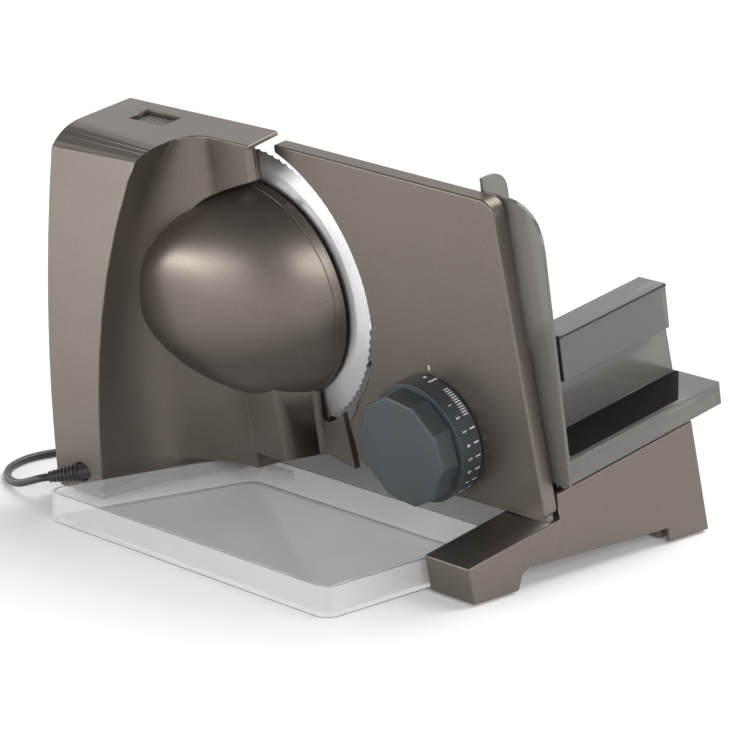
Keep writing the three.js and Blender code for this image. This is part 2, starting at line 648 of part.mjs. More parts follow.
// The tower is hollow between its brand face and its cover, beside the motor.
function shellRoom() {
  return leanSolid(block([TOWER_LEFT + WALL, WORM_X - MOTOR_R - PASS - WALL], [FACE_FOOT_Y + WALL, FAR],
    [TOWER_FLOOR + WALL, ROOF_Z - FACE_TOP_LEFT[1] - 3 * WALL]));
}

const switchSides = (inset) => [
  around(SWITCH_X, SWITCH_LENGTH / 2 - inset), around(SWITCH_Y, SWITCH_WIDTH / 2 - inset),
];
const glandDirection = new THREE.Vector3(...GLAND_DIRECTION).normalize();
const glandHole = fromStanding(spike(GLAND_AT, glandDirection, [GLAND_R + SEAT, GLAND_R + SEAT],
  [-GLAND_SEAT - SEAT, GLAND_LENGTH]));
const axleSeat = bar('y', AXLE_R + SEAT, [WHEEL_ROOM_Y - AXLE_SEAT, WHEEL_Y], onBlade, 32);
const unit = bladeUnit();
const coverTop = ROOF_Z - HOOD_ROOF;
const coverRoom = block([-FAR, FAR], [COVER_Y - SEAT, FAR], [-FAR, coverTop]);

piece(leaning, 'tower_housing', cut(unit, coverRoom, driveRoom(), shellRoom(), axleSeat,
  glandHole, block(...switchSides(0), [WELL_FLOOR, FAR])), bodyFinish());
piece(leaning, 'rear_cover', cut(unit, block([-FAR, FAR], [-FAR, COVER_Y], [-FAR, FAR]),
  block([-FAR, FAR], [-FAR, FAR], [coverTop - SEAT, FAR]), bar('y', POCKET_R, [POCKET_Y, FAR], onBlade, 96),
  bar('y', WHEEL_ROOM_R, [-FAR, FAR], onBlade, 48)), bodyFinish());
piece(leaning, 'switch_core', block(...switchSides(PASS), [CORE_TOP - SWITCH_CORE, CORE_TOP]), blackFinish());
piece(leaning, 'switch_button', block(...switchSides(PASS), [BUTTON_TOP - BUTTON_THICK, BUTTON_TOP]),
  blackFinish());

// Blade, its wheel and the lock that holds it on the food side
function bladeDisc() {
  const rim = Array.from({ length: 3 * SCALLOPS }, (_, i) => {
    const radius = i % 3 === 0 ? BLADE_R : BLADE_R - SCALLOP_DEPTH;
    const angle = i / (3 * SCALLOPS) * 2 * Math.PI;
    return [BLADE_X + radius * Math.cos(angle), BLADE_Z + radius * Math.sin(angle)];
  });
  const ground = turned([
    [BLADE_R - BEVEL_WIDTH, BLADE_BACK_Y], [BLADE_R, BLADE_EDGE_Y - EDGE_LAND],
    [BLADE_R + OVERRUN, BLADE_EDGE_Y - EDGE_LAND], [BLADE_R + OVERRUN, BLADE_BACK_Y - OVERRUN],
    [BLADE_R - BEVEL_WIDTH, BLADE_BACK_Y - OVERRUN],
  ], onBlade, SCALLOPS);
  return cut(prism('y', rim, [BLADE_BACK_Y, BLADE_EDGE_Y]), ground,
    bar('y', BLADE_HOLE_R, [-FAR, FAR], onBlade, 40));
}
piece(leaning, 'blade', bladeDisc(), steelFinish());

const toothHalf = (height) => PITCH * TOOTH_SHARE / 2 - height * FLANK;

function bladeWheel() {
  const twist = PITCH / (2 * Math.PI * WORM_PITCH_R) / WHEEL_PITCH_R;
  const tooth = [[-TOOTH_DEDENDUM, -1], [TOOTH_ADDENDUM, -1], [TOOTH_ADDENDUM, 1], [-TOOTH_DEDENDUM, 1]];
  const rings = around(0, WHEEL_WIDTH / 2).map((y) => Array.from({ length: WHEEL_TEETH }, (_, i) => {
    const middle = Math.PI + (i + 0.5) / WHEEL_TEETH * 2 * Math.PI - y * twist;
    return tooth.map(([height, side]) => {
      const radius = WHEEL_PITCH_R + height;
      const angle = middle + side * toothHalf(height) / radius;
      return new THREE.Vector3(BLADE_X + radius * Math.cos(angle), WHEEL_Y + y,
        BLADE_Z + radius * Math.sin(angle));
    });
  }).flat());
  const bore = AXLE_R + PLAY;
  const stubBore = LOCK_STUB_R + SEAT;
  const stubFloor = BLADE_EDGE_Y - LOCK_STUB;
  const spigot = BLADE_HOLE_R - SEAT;
  const hub = turned([
    [bore, WHEEL_ROOM_Y + SEAT], [HUB_R, WHEEL_ROOM_Y + SEAT], [HUB_R, FLANGE_BACK_Y - FLANGE_THICK],
    [FLANGE_R, FLANGE_BACK_Y - FLANGE_THICK], [FLANGE_R, FLANGE_BACK_Y], [spigot, FLANGE_BACK_Y],
    [spigot, BLADE_EDGE_Y], [stubBore, BLADE_EDGE_Y], [stubBore, stubFloor], [bore, stubFloor],
  ], onBlade);
  const wheel = loft(rings, (p) => new THREE.Vector2(p.x, p.z));
  return join(cut(wheel, bar('y', HUB_R - BITE, [-FAR, FAR], onBlade, 32)), hub);
}
piece(leaning, 'blade_wheel', bladeWheel(), whiteFinish());

const lockFace = BLADE_EDGE_Y + SEAT;
piece(leaning, 'blade_lock', turned([
  [0, lockFace - LOCK_STUB], [LOCK_STUB_R, lockFace - LOCK_STUB], [LOCK_STUB_R, lockFace], [LOCK_R, lockFace],
  [LOCK_R, lockFace + LOCK_THICK / 2], [LOCK_R - LOCK_THICK, lockFace + LOCK_THICK], [0, lockFace + LOCK_THICK],
], onBlade), slateFinish());
piece(leaning, 'blade_axle', bar('y', AXLE_R,
  [WHEEL_ROOM_Y - AXLE_SEAT + SEAT, BLADE_BACK_Y - AXLE_END], onBlade, 32), steelFinish());

// Worm with its bearing and the motor
function wormThread() {
  const turns = WORM_LENGTH / PITCH;
  const root = -TOOTH_DEDENDUM - BITE;
  const section = [[root, -1], [TOOTH_ADDENDUM, -1], [TOOTH_ADDENDUM, 1], [root, 1]];
  const rings = samples(Math.round(turns * WORM_STEPS), (t) => {
    const angle = (t - 0.5) * turns * 2 * Math.PI;
    return section.map(([height, side]) => {
      const radius = WORM_PITCH_R + height;
      const z = BLADE_Z + angle / (2 * Math.PI) * PITCH + side * toothHalf(height);
      return new THREE.Vector3(WORM_X + radius * Math.cos(angle), WHEEL_Y + radius * Math.sin(angle), z);
    });
  });
  return loft(rings, (p) => new THREE.Vector2(Math.hypot(p.x - WORM_X, p.y - WHEEL_Y), p.z));
}
piece(leaning, 'worm', join(
  bar('z', WORM_PITCH_R - TOOTH_DEDENDUM, [WORM_LOW - PITCH / 2, WORM_HIGH + PITCH / 2], onWorm),
  bar('z', WORM_SHAFT_R, [BEARING_LOW + SEAT, MOTOR_LOW + MOTOR_BORE - SEAT], onWorm, 16),
  wormThread(),
), steelFinish());
piece(leaning, 'worm_bearing', cut(
  block([WORM_X - WORM_ROOM_R + SEAT, WORM_X + WORM_PITCH_R],
    [WHEEL_Y - WORM_ROOM_R + SEAT, WHEEL_Y + WORM_ROOM_R], [BEARING_LOW, BEARING_TOP]),
  bar('z', WORM_SHAFT_R + PLAY, [-FAR, FAR], onWorm),
), whiteFinish());
piece(leaning, 'motor', cut(
  bar('z', MOTOR_R, [MOTOR_LOW, MOTOR_HIGH], onWorm, 32),
  bar('z', WORM_SHAFT_R + PLAY, [MOTOR_LOW - OVERRUN, MOTOR_LOW + MOTOR_BORE], onWorm),
), steelFinish());

// Stop plate with its guides
function stopPlate() {
  const arc = samples(36, (t) => plateArc(mix(PLATE_ARC_END, PLATE_ARC_START, t)));
  const [footX, footZ] = PLATE_FOOT_RIGHT;
  const sheet = prism('y', [
    [PLATE_FOOT_LEFT, footZ], [footX, footZ, PLATE_FOOT_R],
    [PLATE_TOP_RIGHT, PLATE_TOP_Z - PLATE_FALL, PLATE_CORNER_R], [PLATE_LEFT, PLATE_TOP_Z], ...arc,
  ], [PLATE_FRONT_Y, PLATE_FOOD_Y]);
  const lipFront = PLATE_FRONT_Y + LIP_SETBACK;
  const lip = block([PLATE_FOOT_LEFT + LIP_INSET, footX - LIP_INSET], [lipFront, lipFront + LIP_THICK],
    [footZ - LIP_HEIGHT, footZ + BITE]);
  const boss = bar('y', BOSS_R, [PLATE_FRONT_Y, PLATE_FOOD_Y], onDial, 48);
  const slope = PLATE_RELIEF / (BLADE_EDGE_Y - PLATE_FRONT_Y);
  const relief = bar('y', PLATE_ARC_R + PLATE_RELIEF + slope * OVERRUN, [PLATE_FRONT_Y - OVERRUN, BLADE_EDGE_Y],
    onBlade, 96, PLATE_ARC_R);
  const clipSeat = bar('y', CLIP_R + PASS, [CLIP_FRONT_Y - SEAT, FAR], onDial);
  const rods = Object.values(RODS).map((x) => bar('y', ROD_R + SEAT, [PLATE_FOOD_Y - ROD_SEAT, FAR],
    [x, ROD_Z], 16));
  return cut(join(sheet, lip, boss), relief, clipSeat, ...rods,
    bar('y', DIAL_AXLE_R + PLAY, [-FAR, FAR], onDial), bar('y', PIN_R + ROOM, [-FAR, FAR], onPin, 16));
}
piece(leaning, 'stop_plate', stopPlate(), bodyFinish());

for (const [side, x] of Object.entries(RODS)) {
  piece(leaning, `guide_rod_${side}`, bar('y', ROD_R,
    [PLATE_FOOD_Y - ROD_SEAT + SEAT, BASE_FRONT_Y + ROD_REACH], [x, ROD_Z], 16), steelFinish());
  piece(leaning, `guide_bush_${side}`, cut(
    block(around(x, BUSH_HALF_WIDTH), [BUSH_FRONT_Y, BUSH_FRONT_Y + BUSH_LENGTH],
      [BUSH_TOP - BUSH_HEIGHT, BUSH_TOP]),
    bar('y', ROD_R + PLAY, [-FAR, FAR], [x, ROD_Z], 16),
  ), blackFinish());
}

// Dial on the plate, with the pin of the base in its cam groove
function dialGrip() {
  const steps = [[GRIP_R, 0], [GRIP_R, GRIP_DEPTH - GRIP_TAPER], [GRIP_R - GRIP_TAPER, GRIP_DEPTH]];
  const rings = steps.map(([radius, depth]) => Array.from({ length: GRIP_SIDES }, (_, i) => {
    const angle = GRIP_PHASE + i / GRIP_SIDES * 2 * Math.PI;
    return new THREE.Vector3(DIAL_X + radius * Math.cos(angle), GRIP_BACK_Y - depth,
      DIAL_Z + radius * Math.sin(angle));
  }));
  const seat = bar('y', DIAL_AXLE_R + SEAT, [GRIP_BACK_Y - DIAL_AXLE_SEAT - SEAT, FAR], onDial);
  return cut(loft(rings, (p) => new THREE.Vector2(p.x, p.z)), seat);
}
piece(leaning, 'dial_grip', dialGrip(), slateFinish());

// The groove's floor climbs with the turn, from the place of the pin at rest.
function dialRing() {
  const rise = (turn) => PLATE_TRAVEL * Math.min(1, Math.max(0, turn / DIAL_TURN));
  const [inner, outer] = around(CAM_R, CAM_WIDTH / 2);
  const open = RING_BACK_Y + OVERRUN;
  const rings = samples(CAM_STEPS, (t) => {
    const turn = mix(-CAM_LEAD, DIAL_TURN + CAM_LEAD, t);
    const angle = -Math.PI / 2 - turn;
    const floor = RING_FRONT_Y + CAM_FLOOR + rise(turn);
    return [[inner, floor], [outer, floor], [outer, open], [inner, open]]
      .map(([r, y]) => new THREE.Vector3(DIAL_X + r * Math.cos(angle), y, DIAL_Z + r * Math.sin(angle)));
  });
  const groove = loft(rings, (p) => new THREE.Vector2(Math.hypot(p.x - DIAL_X, p.z - DIAL_Z), p.y));
  return cut(bar('y', RING_R, [RING_FRONT_Y, RING_BACK_Y], onDial, 60), groove,
    bar('y', DIAL_AXLE_R + SEAT, [-FAR, FAR], onDial));
}
piece(leaning, 'dial_ring', dialRing(), slateFinish());
piece(leaning, 'dial_axle', bar('y', DIAL_AXLE_R, [GRIP_BACK_Y - DIAL_AXLE_SEAT, CLIP_FRONT_Y - SEAT], onDial),
  steelFinish());
piece(leaning, 'dial_clip', bar('y', CLIP_R, [CLIP_FRONT_Y, CLIP_BACK_Y], onDial), steelFinish());
piece(leaning, 'cam_pin', turned([
  [0, PIN_TIP_Y], [PIN_R, PIN_TIP_Y], [PIN_R, BEAM_BACK_Y + SEAT], [PIN_FLANGE_R, BEAM_BACK_Y + SEAT],
  [PIN_FLANGE_R, BEAM_BACK_Y + SEAT + PIN_FLANGE], [0, BEAM_BACK_Y + SEAT + PIN_FLANGE],
], onPin, 16), steelFinish());

// Base: a hollow bridge under the carriage, a leg in front and a shoe under the tower
function baseFrame() {
  const leg = prism('x', [
    [BASE_FRONT_Y + BITE, LEG_TOP_Z], [LEG_TIP_Y, LEG_TOP_Z], lean([0, FLOOR_GAP]),
    lean([LEG_FOOT_LENGTH, FLOOR_GAP]), ...LEG_ARCH.map(lean), lean([ARCH_FRONT[0] + BITE, ARCH_FRONT[1]]),
  ], [BASE_RIGHT - LEG_WIDTH, BASE_RIGHT]);
  const rearFoot = lean([BASE_TOE_Y, FLOOR_GAP]);
  const bridge = prism('x', [
    [BASE_FRONT_Y, DECK_Z], lean(ARCH_FRONT), lean(ARCH_REAR), lean([HEEL_Y, FLOOR_GAP]), rearFoot,
    [BASE_REAR_Y, DECK_Z],
  ], [TOWER_LEFT, BASE_RIGHT]);
  const hollow = prism('x', [
    [BEAM_BACK_Y, DECK_UNDER_Z], [BASE_REAR_Y - WALL, DECK_UNDER_Z], [rearFoot[0] - WALL, rearFoot[1]],
    [rearFoot[0] - WALL, -FAR], [BEAM_BACK_Y, -FAR],
  ], [TOWER_LEFT + WALL, BASE_RIGHT - WALL]);
  const front = block([SHOE_RIGHT, BASE_RIGHT - LEG_WIDTH], [BASE_FRONT_Y - OVERRUN, BEAM_BACK_Y + OVERRUN],
    [-FAR, LEG_TOP_Z]);
  const shoe = leanSolid(block([TOWER_LEFT, SHOE_RIGHT], [SHOE_FRONT_Y, SHOE_REAR_Y],
    [SHOE_BOTTOM, TOWER_FLOOR - SEAT]));
  const post = prism('x', [
    [BASE_FRONT_Y, DECK_Z], lean([BASE_FRONT_Y + BITE, SHOE_BOTTOM]), lean([SHOE_REAR_Y, SHOE_BOTTOM]),
    [BASE_FRONT_Y + POST_DEPTH, DECK_Z],
  ], [TOWER_LEFT, SHOE_RIGHT]);
  const heels = [FEET.rear_right, FEET.rear_left].map(([x]) => leanSolid(block(around(x, FOOT_BLOCK),
    [HEEL_Y, BASE_TOE_Y - 2 * WALL], [FLOOR_GAP, FOOT_BLOCK_Z])));
  const sockets = Object.values(FEET).map(([x, y, z]) => leanSolid(bar('z', STEM_R + SEAT,
    [-OVERRUN, z + STEM_LENGTH + SEAT], [x, y], 20)));
  const beam = [BASE_FRONT_Y - OVERRUN, BEAM_BACK_Y + OVERRUN];
  const rods = Object.values(RODS).map((x) => bar('y', ROD_R + PASS, beam, [x, ROD_Z], 16));
  return cut(join(cut(bridge, hollow, front), leg, shoe, post, ...heels), ...sockets, ...rods,
    bar('y', PIN_R + SEAT, beam, onPin, 16));
}
piece(leaning, 'base_frame', baseFrame(), bodyFinish());

for (const [name, [x, y, z]] of Object.entries(FEET)) {
  const at = [x, y + FRONT_LINE];
  const pad = bar('z', FOOT_R, [0, z - SEAT], at, 28, FOOT_R - z / 3);
  const stem = bar('z', STEM_R, [z / 3, z + STEM_LENGTH], at, 20);
  piece(standing, `foot_${name}`, join(pad, stem), rubberFinish());
}

const trackSpan = [TOWER_LEFT + TRACK_INSET, BASE_RIGHT - TRACK_INSET];
piece(leaning, 'slide_rail', cut(
  block(trackSpan, [BASE_FRONT_Y + TRACK_INSET, BASE_REAR_Y - TRACK_INSET], [TRACK_Z, TRACK_TOP_Z]),
  block([-FAR, FAR], around(GROOVE_Y, GROOVE_WIDTH / 2), [TRACK_TOP_Z - GROOVE_DEPTH, FAR]),
), blackFinish());

// Carriage with its runner, and the pusher on its back wall
function carriage() {
  const shelf = block([SHELF_LEFT, SHELF_RIGHT], [SHELF_FRONT_Y, SHELF_REAR_Y], [SHELF_UNDER_Z, SHELF_Z]);
  const rightSkirt = block([SHELF_RIGHT - SHEET, SHELF_RIGHT], [SHELF_FRONT_Y, SHELF_REAR_Y], [SKIRT_Z, SHELF_Z]);
  const rearSkirt = block([SHELF_LEFT, SHELF_RIGHT], [SHELF_REAR_Y - SHEET, SHELF_REAR_Y], [SKIRT_Z, SHELF_Z]);
  const thumb = prism('y', [
    [BACK_X - SHEET, THUMB_Z], [THUMB_RIGHT, THUMB_Z], [THUMB_RIGHT, THUMB_TOP, THUMB_R],
    [BACK_X - SHEET, THUMB_TOP],
  ], [SHELF_FRONT_Y, SHELF_FRONT_Y + SHEET]);
  const wall = prism('x', [
    [SHELF_FRONT_Y, SHELF_UNDER_Z], [SHELF_REAR_Y, SHELF_UNDER_Z], [SHELF_REAR_Y - BACK_SLANT, BACK_TOP_Z],
    [GUSSET_Y, BACK_TOP_Z], [GUSSET_Y, GUSSET_TOP_Z, GUSSET_R], [SHELF_FRONT_Y, GUSSET_TOP_Z],
  ], [BACK_X - SHEET, BACK_X]);
  return join(shelf, rightSkirt, rearSkirt, thumb, wall);
}
piece(leaning, 'carriage', carriage(), smokeFinish());
const runnerSpan = [SHELF_LEFT + RUNNER_INSET.left, SHELF_RIGHT - RUNNER_INSET.right];
piece(leaning, 'carriage_runner', join(
  block(runnerSpan, around(GROOVE_Y, GROOVE_WIDTH / 2 + RUNNER_WALL), [TRACK_TOP_Z + PASS, SHELF_UNDER_Z - SEAT]),
  block(runnerSpan, around(GROOVE_Y, GROOVE_WIDTH / 2 - PASS),
    [TRACK_TOP_Z - GROOVE_DEPTH + PASS, TRACK_TOP_Z + PASS + BITE]),
), blackFinish());

const pusherInner = [PUSHER_LEFT + PUSHER_SHEET, PUSHER_RIGHT - PUSHER_SHEET];
piece(leaning, 'pusher', prism('y', [
  [PUSHER_LEFT, PRESSER_Z], [pusherInner[0], PRESSER_Z], [pusherInner[0], PUSHER_TOP - PUSHER_SHEET],
  [pusherInner[1], PUSHER_TOP - PUSHER_SHEET], [pusherInner[1], PUSHER_TOP - PUSHER_SKIRT],
  [PUSHER_RIGHT, PUSHER_TOP - PUSHER_SKIRT], [PUSHER_RIGHT, PUSHER_TOP], [PUSHER_LEFT, PUSHER_TOP],
], [PUSHER_START_Y, PUSHER_START_Y + PUSHER_LENGTH]), smokeFinish());

piece(standing, 'slice_tray', cut(
  prism('z', trayCorners(0, TRAY_CORNER_R), [0, TRAY_HEIGHT], 8),
  prism('z', trayCorners(-TRAY_WALL, TRAY_CORNER_R - TRAY_WALL), [TRAY_FLOOR, FAR], 8),
), clearFinish());

// Mains lead: strain relief, free part, coil with its tie, plug
piece(standing, 'strain_relief', solid(spike(GLAND_AT, glandDirection, [GLAND_R, GLAND_TIP_R],
  [-GLAND_SEAT, GLAND_LENGTH])), blackFinish());

function coilPlace(turns) {
  const inward = Math.min(turns, COIL_TURNS - turns);
  const radius = COIL_OUTER - COIL_PITCH * inward;
  const climb = Math.min(1, Math.max(0, 2 * (turns - COIL_TURNS / 2) + 0.5));
  const angle = turns * 2 * Math.PI;
  return new THREE.Vector3(COIL_AT[0] + radius * Math.cos(angle), COIL_AT[1] + radius * Math.sin(angle),
    COIL_Z + climb * COIL_PITCH);
}
const straight = new THREE.Vector3(0, 2 * CORD_R, 0);
const coilStart = coilPlace(0).sub(straight);
const coilEnd = coilPlace(COIL_TURNS).add(new THREE.Vector3(0, COIL_TAIL, 0));

function freeCord() {
  const start = new THREE.Vector3(...GLAND_AT).addScaledVector(glandDirection, GLAND_LENGTH + SEAT);
  const end = coilStart.clone().sub(new THREE.Vector3(0, SEAT, 0));
  const path = new THREE.CatmullRomCurve3([
    start, start.clone().addScaledVector(glandDirection, 2 * CORD_R),
    ...CORD_ROUTE.map(([x, y, z]) => new THREE.Vector3(x, y, z + CORD_R)),
    end.clone().sub(straight), end,
  ], false, 'centripetal');
  const circle = new THREE.Shape(Array.from({ length: CORD_SIDES }, (_, i) => {
    const angle = (i + 0.5) / CORD_SIDES * 2 * Math.PI;
    return new THREE.Vector2(CORD_R * Math.cos(angle), CORD_R * Math.sin(angle));
  }));
  const options = { steps: CORD_STEPS, bevelEnabled: false, extrudePath: path };
  return solid(new THREE.ExtrudeGeometry(circle, options));
}
piece(standing, 'cord', freeCord(), blackFinish());

// One unbroken tube along the coil, with a straight end at each side.
function coil() {
  const places = samples(COIL_TURNS * COIL_STEPS, (t) => coilPlace(t * COIL_TURNS));
  const line = [coilStart, ...places, coilEnd];
  const up = new THREE.Vector3(0, 0, 1);
  const rings = line.map((point, i) => {
    const ahead = line[Math.min(i + 1, line.length - 1)].clone().sub(line[Math.max(i - 1, 0)]).normalize();
    const side = new THREE.Vector3().crossVectors(ahead, up).normalize();
    const over = new THREE.Vector3().crossVectors(side, ahead);
    return Array.from({ length: COIL_SIDES }, (_, k) => {
      const angle = k / COIL_SIDES * 2 * Math.PI;
      return point.clone().addScaledVector(side, CORD_R * Math.cos(angle))
        .addScaledVector(over, CORD_R * Math.sin(angle));
    });
  });
  return loft(rings, (p) => new THREE.Vector2(p.x, p.z));
}
piece(standing, 'cord_coil', coil(), blackFinish());

// Least gap between the turns, measured on points of the centreline half a turn or more apart.
function coilGap() {
  const places = samples(COIL_TURNS * COIL_STEPS, (t) => coilPlace(t * COIL_TURNS));
  const apart = places.flatMap((a, i) => places.slice(i + COIL_STEPS / 2).map((b) => a.distanceTo(b)));
  return Math.min(...apart) - 2 * CORD_R;
}
console.log(`least gap between the turns of the coil: ${coilGap().toFixed(2)} mm`);

// The tie goes round the turns where the coil is farthest from its ends.
const tieX = [COIL_TURNS / 2 - 0.5, 0.5].map((inward) => COIL_AT[0] - COIL_OUTER + COIL_PITCH * inward);
const tieInner = [[tieX[1] - CORD_R - ROOM, tieX[0] + CORD_R + ROOM], around(COIL_AT[1], TIE_WIDTH),
  [TIE_THICK, COIL_Z + COIL_PITCH + CORD_R + SEAT]];
const tieOuter = tieInner.map(([from, to]) => [from - TIE_THICK, to + TIE_THICK]);
piece(standing, 'coil_tie', cut(block(tieOuter[0], around(COIL_AT[1], TIE_WIDTH / 2), tieOuter[2]),
  block(...tieInner)), blackFinish());

function plug() {
  const { x, y, z } = coilEnd;
  const start = y + SEAT;
  const shoulder = start + PLUG_NOSE;
  const face = shoulder + PLUG_LENGTH;
  const body = prism('z', [
    [x - PLUG_WIDTH / 4, shoulder, PLUG_CORNER_R / 3], [x + PLUG_WIDTH / 4, shoulder, PLUG_CORNER_R / 3],
    [x + PLUG_WIDTH / 2, shoulder + PLUG_LENGTH / 2, PLUG_CORNER_R], [x + PLUG_WIDTH / 2, face],
    [x - PLUG_WIDTH / 2, face], [x - PLUG_WIDTH / 2, shoulder + PLUG_LENGTH / 2, PLUG_CORNER_R],
  ], [0, PLUG_THICK]);
  const boot = bar('y', PLUG_NOSE_R, [start, shoulder + BITE], [x, z], 16);
  const pins = around(x, PLUG_PIN_SPACING / 2).map((at) => bar('y', PLUG_PIN_R, [face - BITE, face + PLUG_PIN],
    [at, PLUG_THICK / 2], 12));
  return join(body, boot, ...pins);
}
piece(standing, 'plug', plug(), blackFinish());

export default slicer;
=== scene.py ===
"""Looks of an electric food slicer: finishes, fine detail, mains lead, floor and light around its solids.

Sizes of the machine are millimetres and degrees. They become metres where a mesh is made. The studio's
distances are metres.
"""

import logging
import math
from dataclasses import dataclass, field
from enum import Enum
from typing import Any, Sequence

import bmesh
import bpy
from mathutils import Euler, Matrix, Vector


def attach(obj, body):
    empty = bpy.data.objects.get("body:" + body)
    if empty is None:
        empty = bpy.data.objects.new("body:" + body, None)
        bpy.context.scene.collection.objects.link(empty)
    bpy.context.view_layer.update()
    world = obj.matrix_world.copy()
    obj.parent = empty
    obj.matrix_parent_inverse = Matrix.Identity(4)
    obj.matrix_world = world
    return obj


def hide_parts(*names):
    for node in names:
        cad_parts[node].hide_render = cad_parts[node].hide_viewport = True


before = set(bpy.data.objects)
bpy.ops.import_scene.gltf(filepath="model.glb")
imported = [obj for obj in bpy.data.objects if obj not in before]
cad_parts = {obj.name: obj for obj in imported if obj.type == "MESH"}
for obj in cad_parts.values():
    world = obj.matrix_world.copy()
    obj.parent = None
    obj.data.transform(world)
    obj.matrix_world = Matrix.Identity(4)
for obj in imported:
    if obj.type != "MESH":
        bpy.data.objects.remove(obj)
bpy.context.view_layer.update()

LOG = logging.getLogger("slicer")
MM = 0.001
LEAN = math.radians(10)
FRONT_LINE = -65.9
LEAN_FRAME = Matrix.Translation((0, FRONT_LINE, 0)) @ Matrix.Rotation(LEAN, 4, "X")
# Corners of a solid that are closer than this, in metres, are one.
MERGE_DISTANCE = 2e-6
# Neighbouring faces that bend less than this are one.
FLAT_ANGLE = math.radians(0.4)
# Edges that bend more than this, in degrees, stay as sharp as a knife.
KNIFE_BEND = 110
# Sockets of the mix node while it blends colours.
MIX_FIRST, MIX_SECOND, MIX_RESULT = 6, 7, 2
# Kinds of input of a Geometry Nodes tree, by the type of what they are set to.
GEOMETRY_INPUT = "NodeSocketGeometry"
INPUT_KINDS = {int: "NodeSocketInt", float: "NodeSocketFloat", tuple: "NodeSocketVector"}

Mesh = bpy.types.Mesh
Piece = bpy.types.Object
Socket = bpy.types.NodeSocket
Inputs = dict[Any, Any]
Span = tuple[float, float]
Triple = tuple[float, float, float]
Colour = Triple


class Body(str, Enum):
    """Bodies that the pieces ride on."""

    FRAME = "frame"
    BLADE = "blade"
    SWITCH = "switch"
    PLATE = "plate"
    DIAL = "dial"
    CARRIAGE = "carriage"
    PUSHER = "pusher"
    TRAY = "tray"


class Slot(str, Enum):
    """Material slots of the record."""

    BODY_PAINT = "body_paint"
    BLADE_STEEL = "blade_steel"
    SLATE = "slate_plastic"
    BLACK = "black_plastic"
    SMOKED = "smoked_plastic"
    CLEAR = "clear_plastic"
    FOOT_RUBBER = "foot_rubber"
    CORD = "cord_black"


def lean_place(x: float, y: float, z: float) -> Matrix:
    """Takes millimetres round a point of the leaning frame to metres in the shared frame."""
    return Matrix.Scale(MM, 4) @ LEAN_FRAME @ Matrix.Translation((x, y, z))


def shade(colour: Colour, factor: float) -> Colour:
    """Gives a colour that is darker or lighter by a factor."""
    return tuple(min(1.0, factor * c) for c in colour)


class NodeSheet:
    """Adds and links the nodes of one node tree."""

    def __init__(self, tree: bpy.types.NodeTree) -> None:
        """Keeps the tree that is drawn on."""
        self.tree = tree

    def fill(self, node: bpy.types.Node, inputs: Inputs) -> None:
        """Sets a node's inputs.

        Args:
            node: The node.
            inputs: Values or sockets, by the input's name or number.
        """
        for key, value in inputs.items():
            if isinstance(value, Socket):
                self.tree.links.new(value, node.inputs[key])
            else:
                node.inputs[key].default_value = value

    def add(self, kind: str, inputs: Inputs | None = None, **settings: Any) -> bpy.types.Node:
        """Adds one node.

        Args:
            kind: Blender's name for the kind of node.
            inputs: Values or sockets for the node's inputs, by name or number.
            **settings: Properties of the node itself.

        Returns:
            The new node.
        """
        node = self.tree.nodes.new(kind)
        for name, value in settings.items():
            setattr(node, name, value)
        self.fill(node, inputs or {})
        return node

    def out(self, kind: str, inputs: Inputs | None = None, **settings: Any) -> Socket:
        """Adds one node and returns its first output."""
        return self.add(kind, inputs, **settings).outputs[0]

    def place(self, kind: str = "Object") -> Socket:
        """Adds coordinates of a kind, by default the object's in metres, and returns them."""
        return self.add("ShaderNodeTexCoord").outputs[kind]

    def noise(self, scale: float, detail: float = 2.0) -> Socket:
        """Adds a noise texture and returns its value, from 0 to 1."""
        return self.out("ShaderNodeTexNoise", {"Vector": self.place(), "Scale": scale, "Detail": detail})

    def spread(self, value: Socket, low: float, high: float,
               start: float = 0.3, end: float = 0.7) -> Socket:
        """Maps a value between start and end to the range from low to high."""
        inputs = {"Value": value, "From Min": start, "From Max": end, "To Min": low, "To Max": high}
        return self.out("ShaderNodeMapRange", inputs)

    def math(self, operation: str, *values: Any) -> Socket:
        """Adds a math node and returns its result."""
        return self.out("ShaderNodeMath", dict(enumerate(values)), operation=operation)

    def blend(self, first: Socket, second: Socket, share: float) -> Socket:
        """Adds up a share of one value and the rest of another, and returns the sum."""
        parts = self.math("MULTIPLY", first, share), self.math("MULTIPLY", second, 1 - share)
        return self.math("ADD", *parts)

    def tint(self, factor: Socket, first: Colour, second: Colour) -> Socket:
        """Blends two colours by a factor and returns the blend."""
        inputs = {"Factor": factor, MIX_FIRST: (*first, 1), MIX_SECOND: (*second, 1)}
        return self.add("ShaderNodeMix", inputs, data_type="RGBA").outputs[MIX_RESULT]

    def bump(self, height: Socket, strength: float, depth: float) -> Socket:
        """Adds a bump of a depth in millimetres and returns its normal."""
        inputs = {"Height": height, "Strength": strength, "Distance": depth * MM}
        return self.out("ShaderNodeBump", inputs)


@dataclass(frozen=True)
class Finish:
    """A surface finish, made into one material that its pieces share.

    Its slot is the record's, and none for print and for solids that keep their own.
    """

    name: str
    slot: Slot | None

    def material(self) -> bpy.types.Material:
        """Makes the finish's material on first use.

        Returns:
            The material.
        """
        made = bpy.data.materials.get(self.name)
        if not made:
            made = bpy.data.materials.new(self.name)
            made.use_nodes = True
            sheet = NodeSheet(made.node_tree)
            sheet.fill(made.node_tree.nodes["Principled BSDF"], self.sockets(sheet))
        return made

    def sockets(self, sheet: NodeSheet) -> Inputs:
        """Draws the finish's nodes on a sheet and returns values or sockets for the shader, by name."""
        raise NotImplementedError


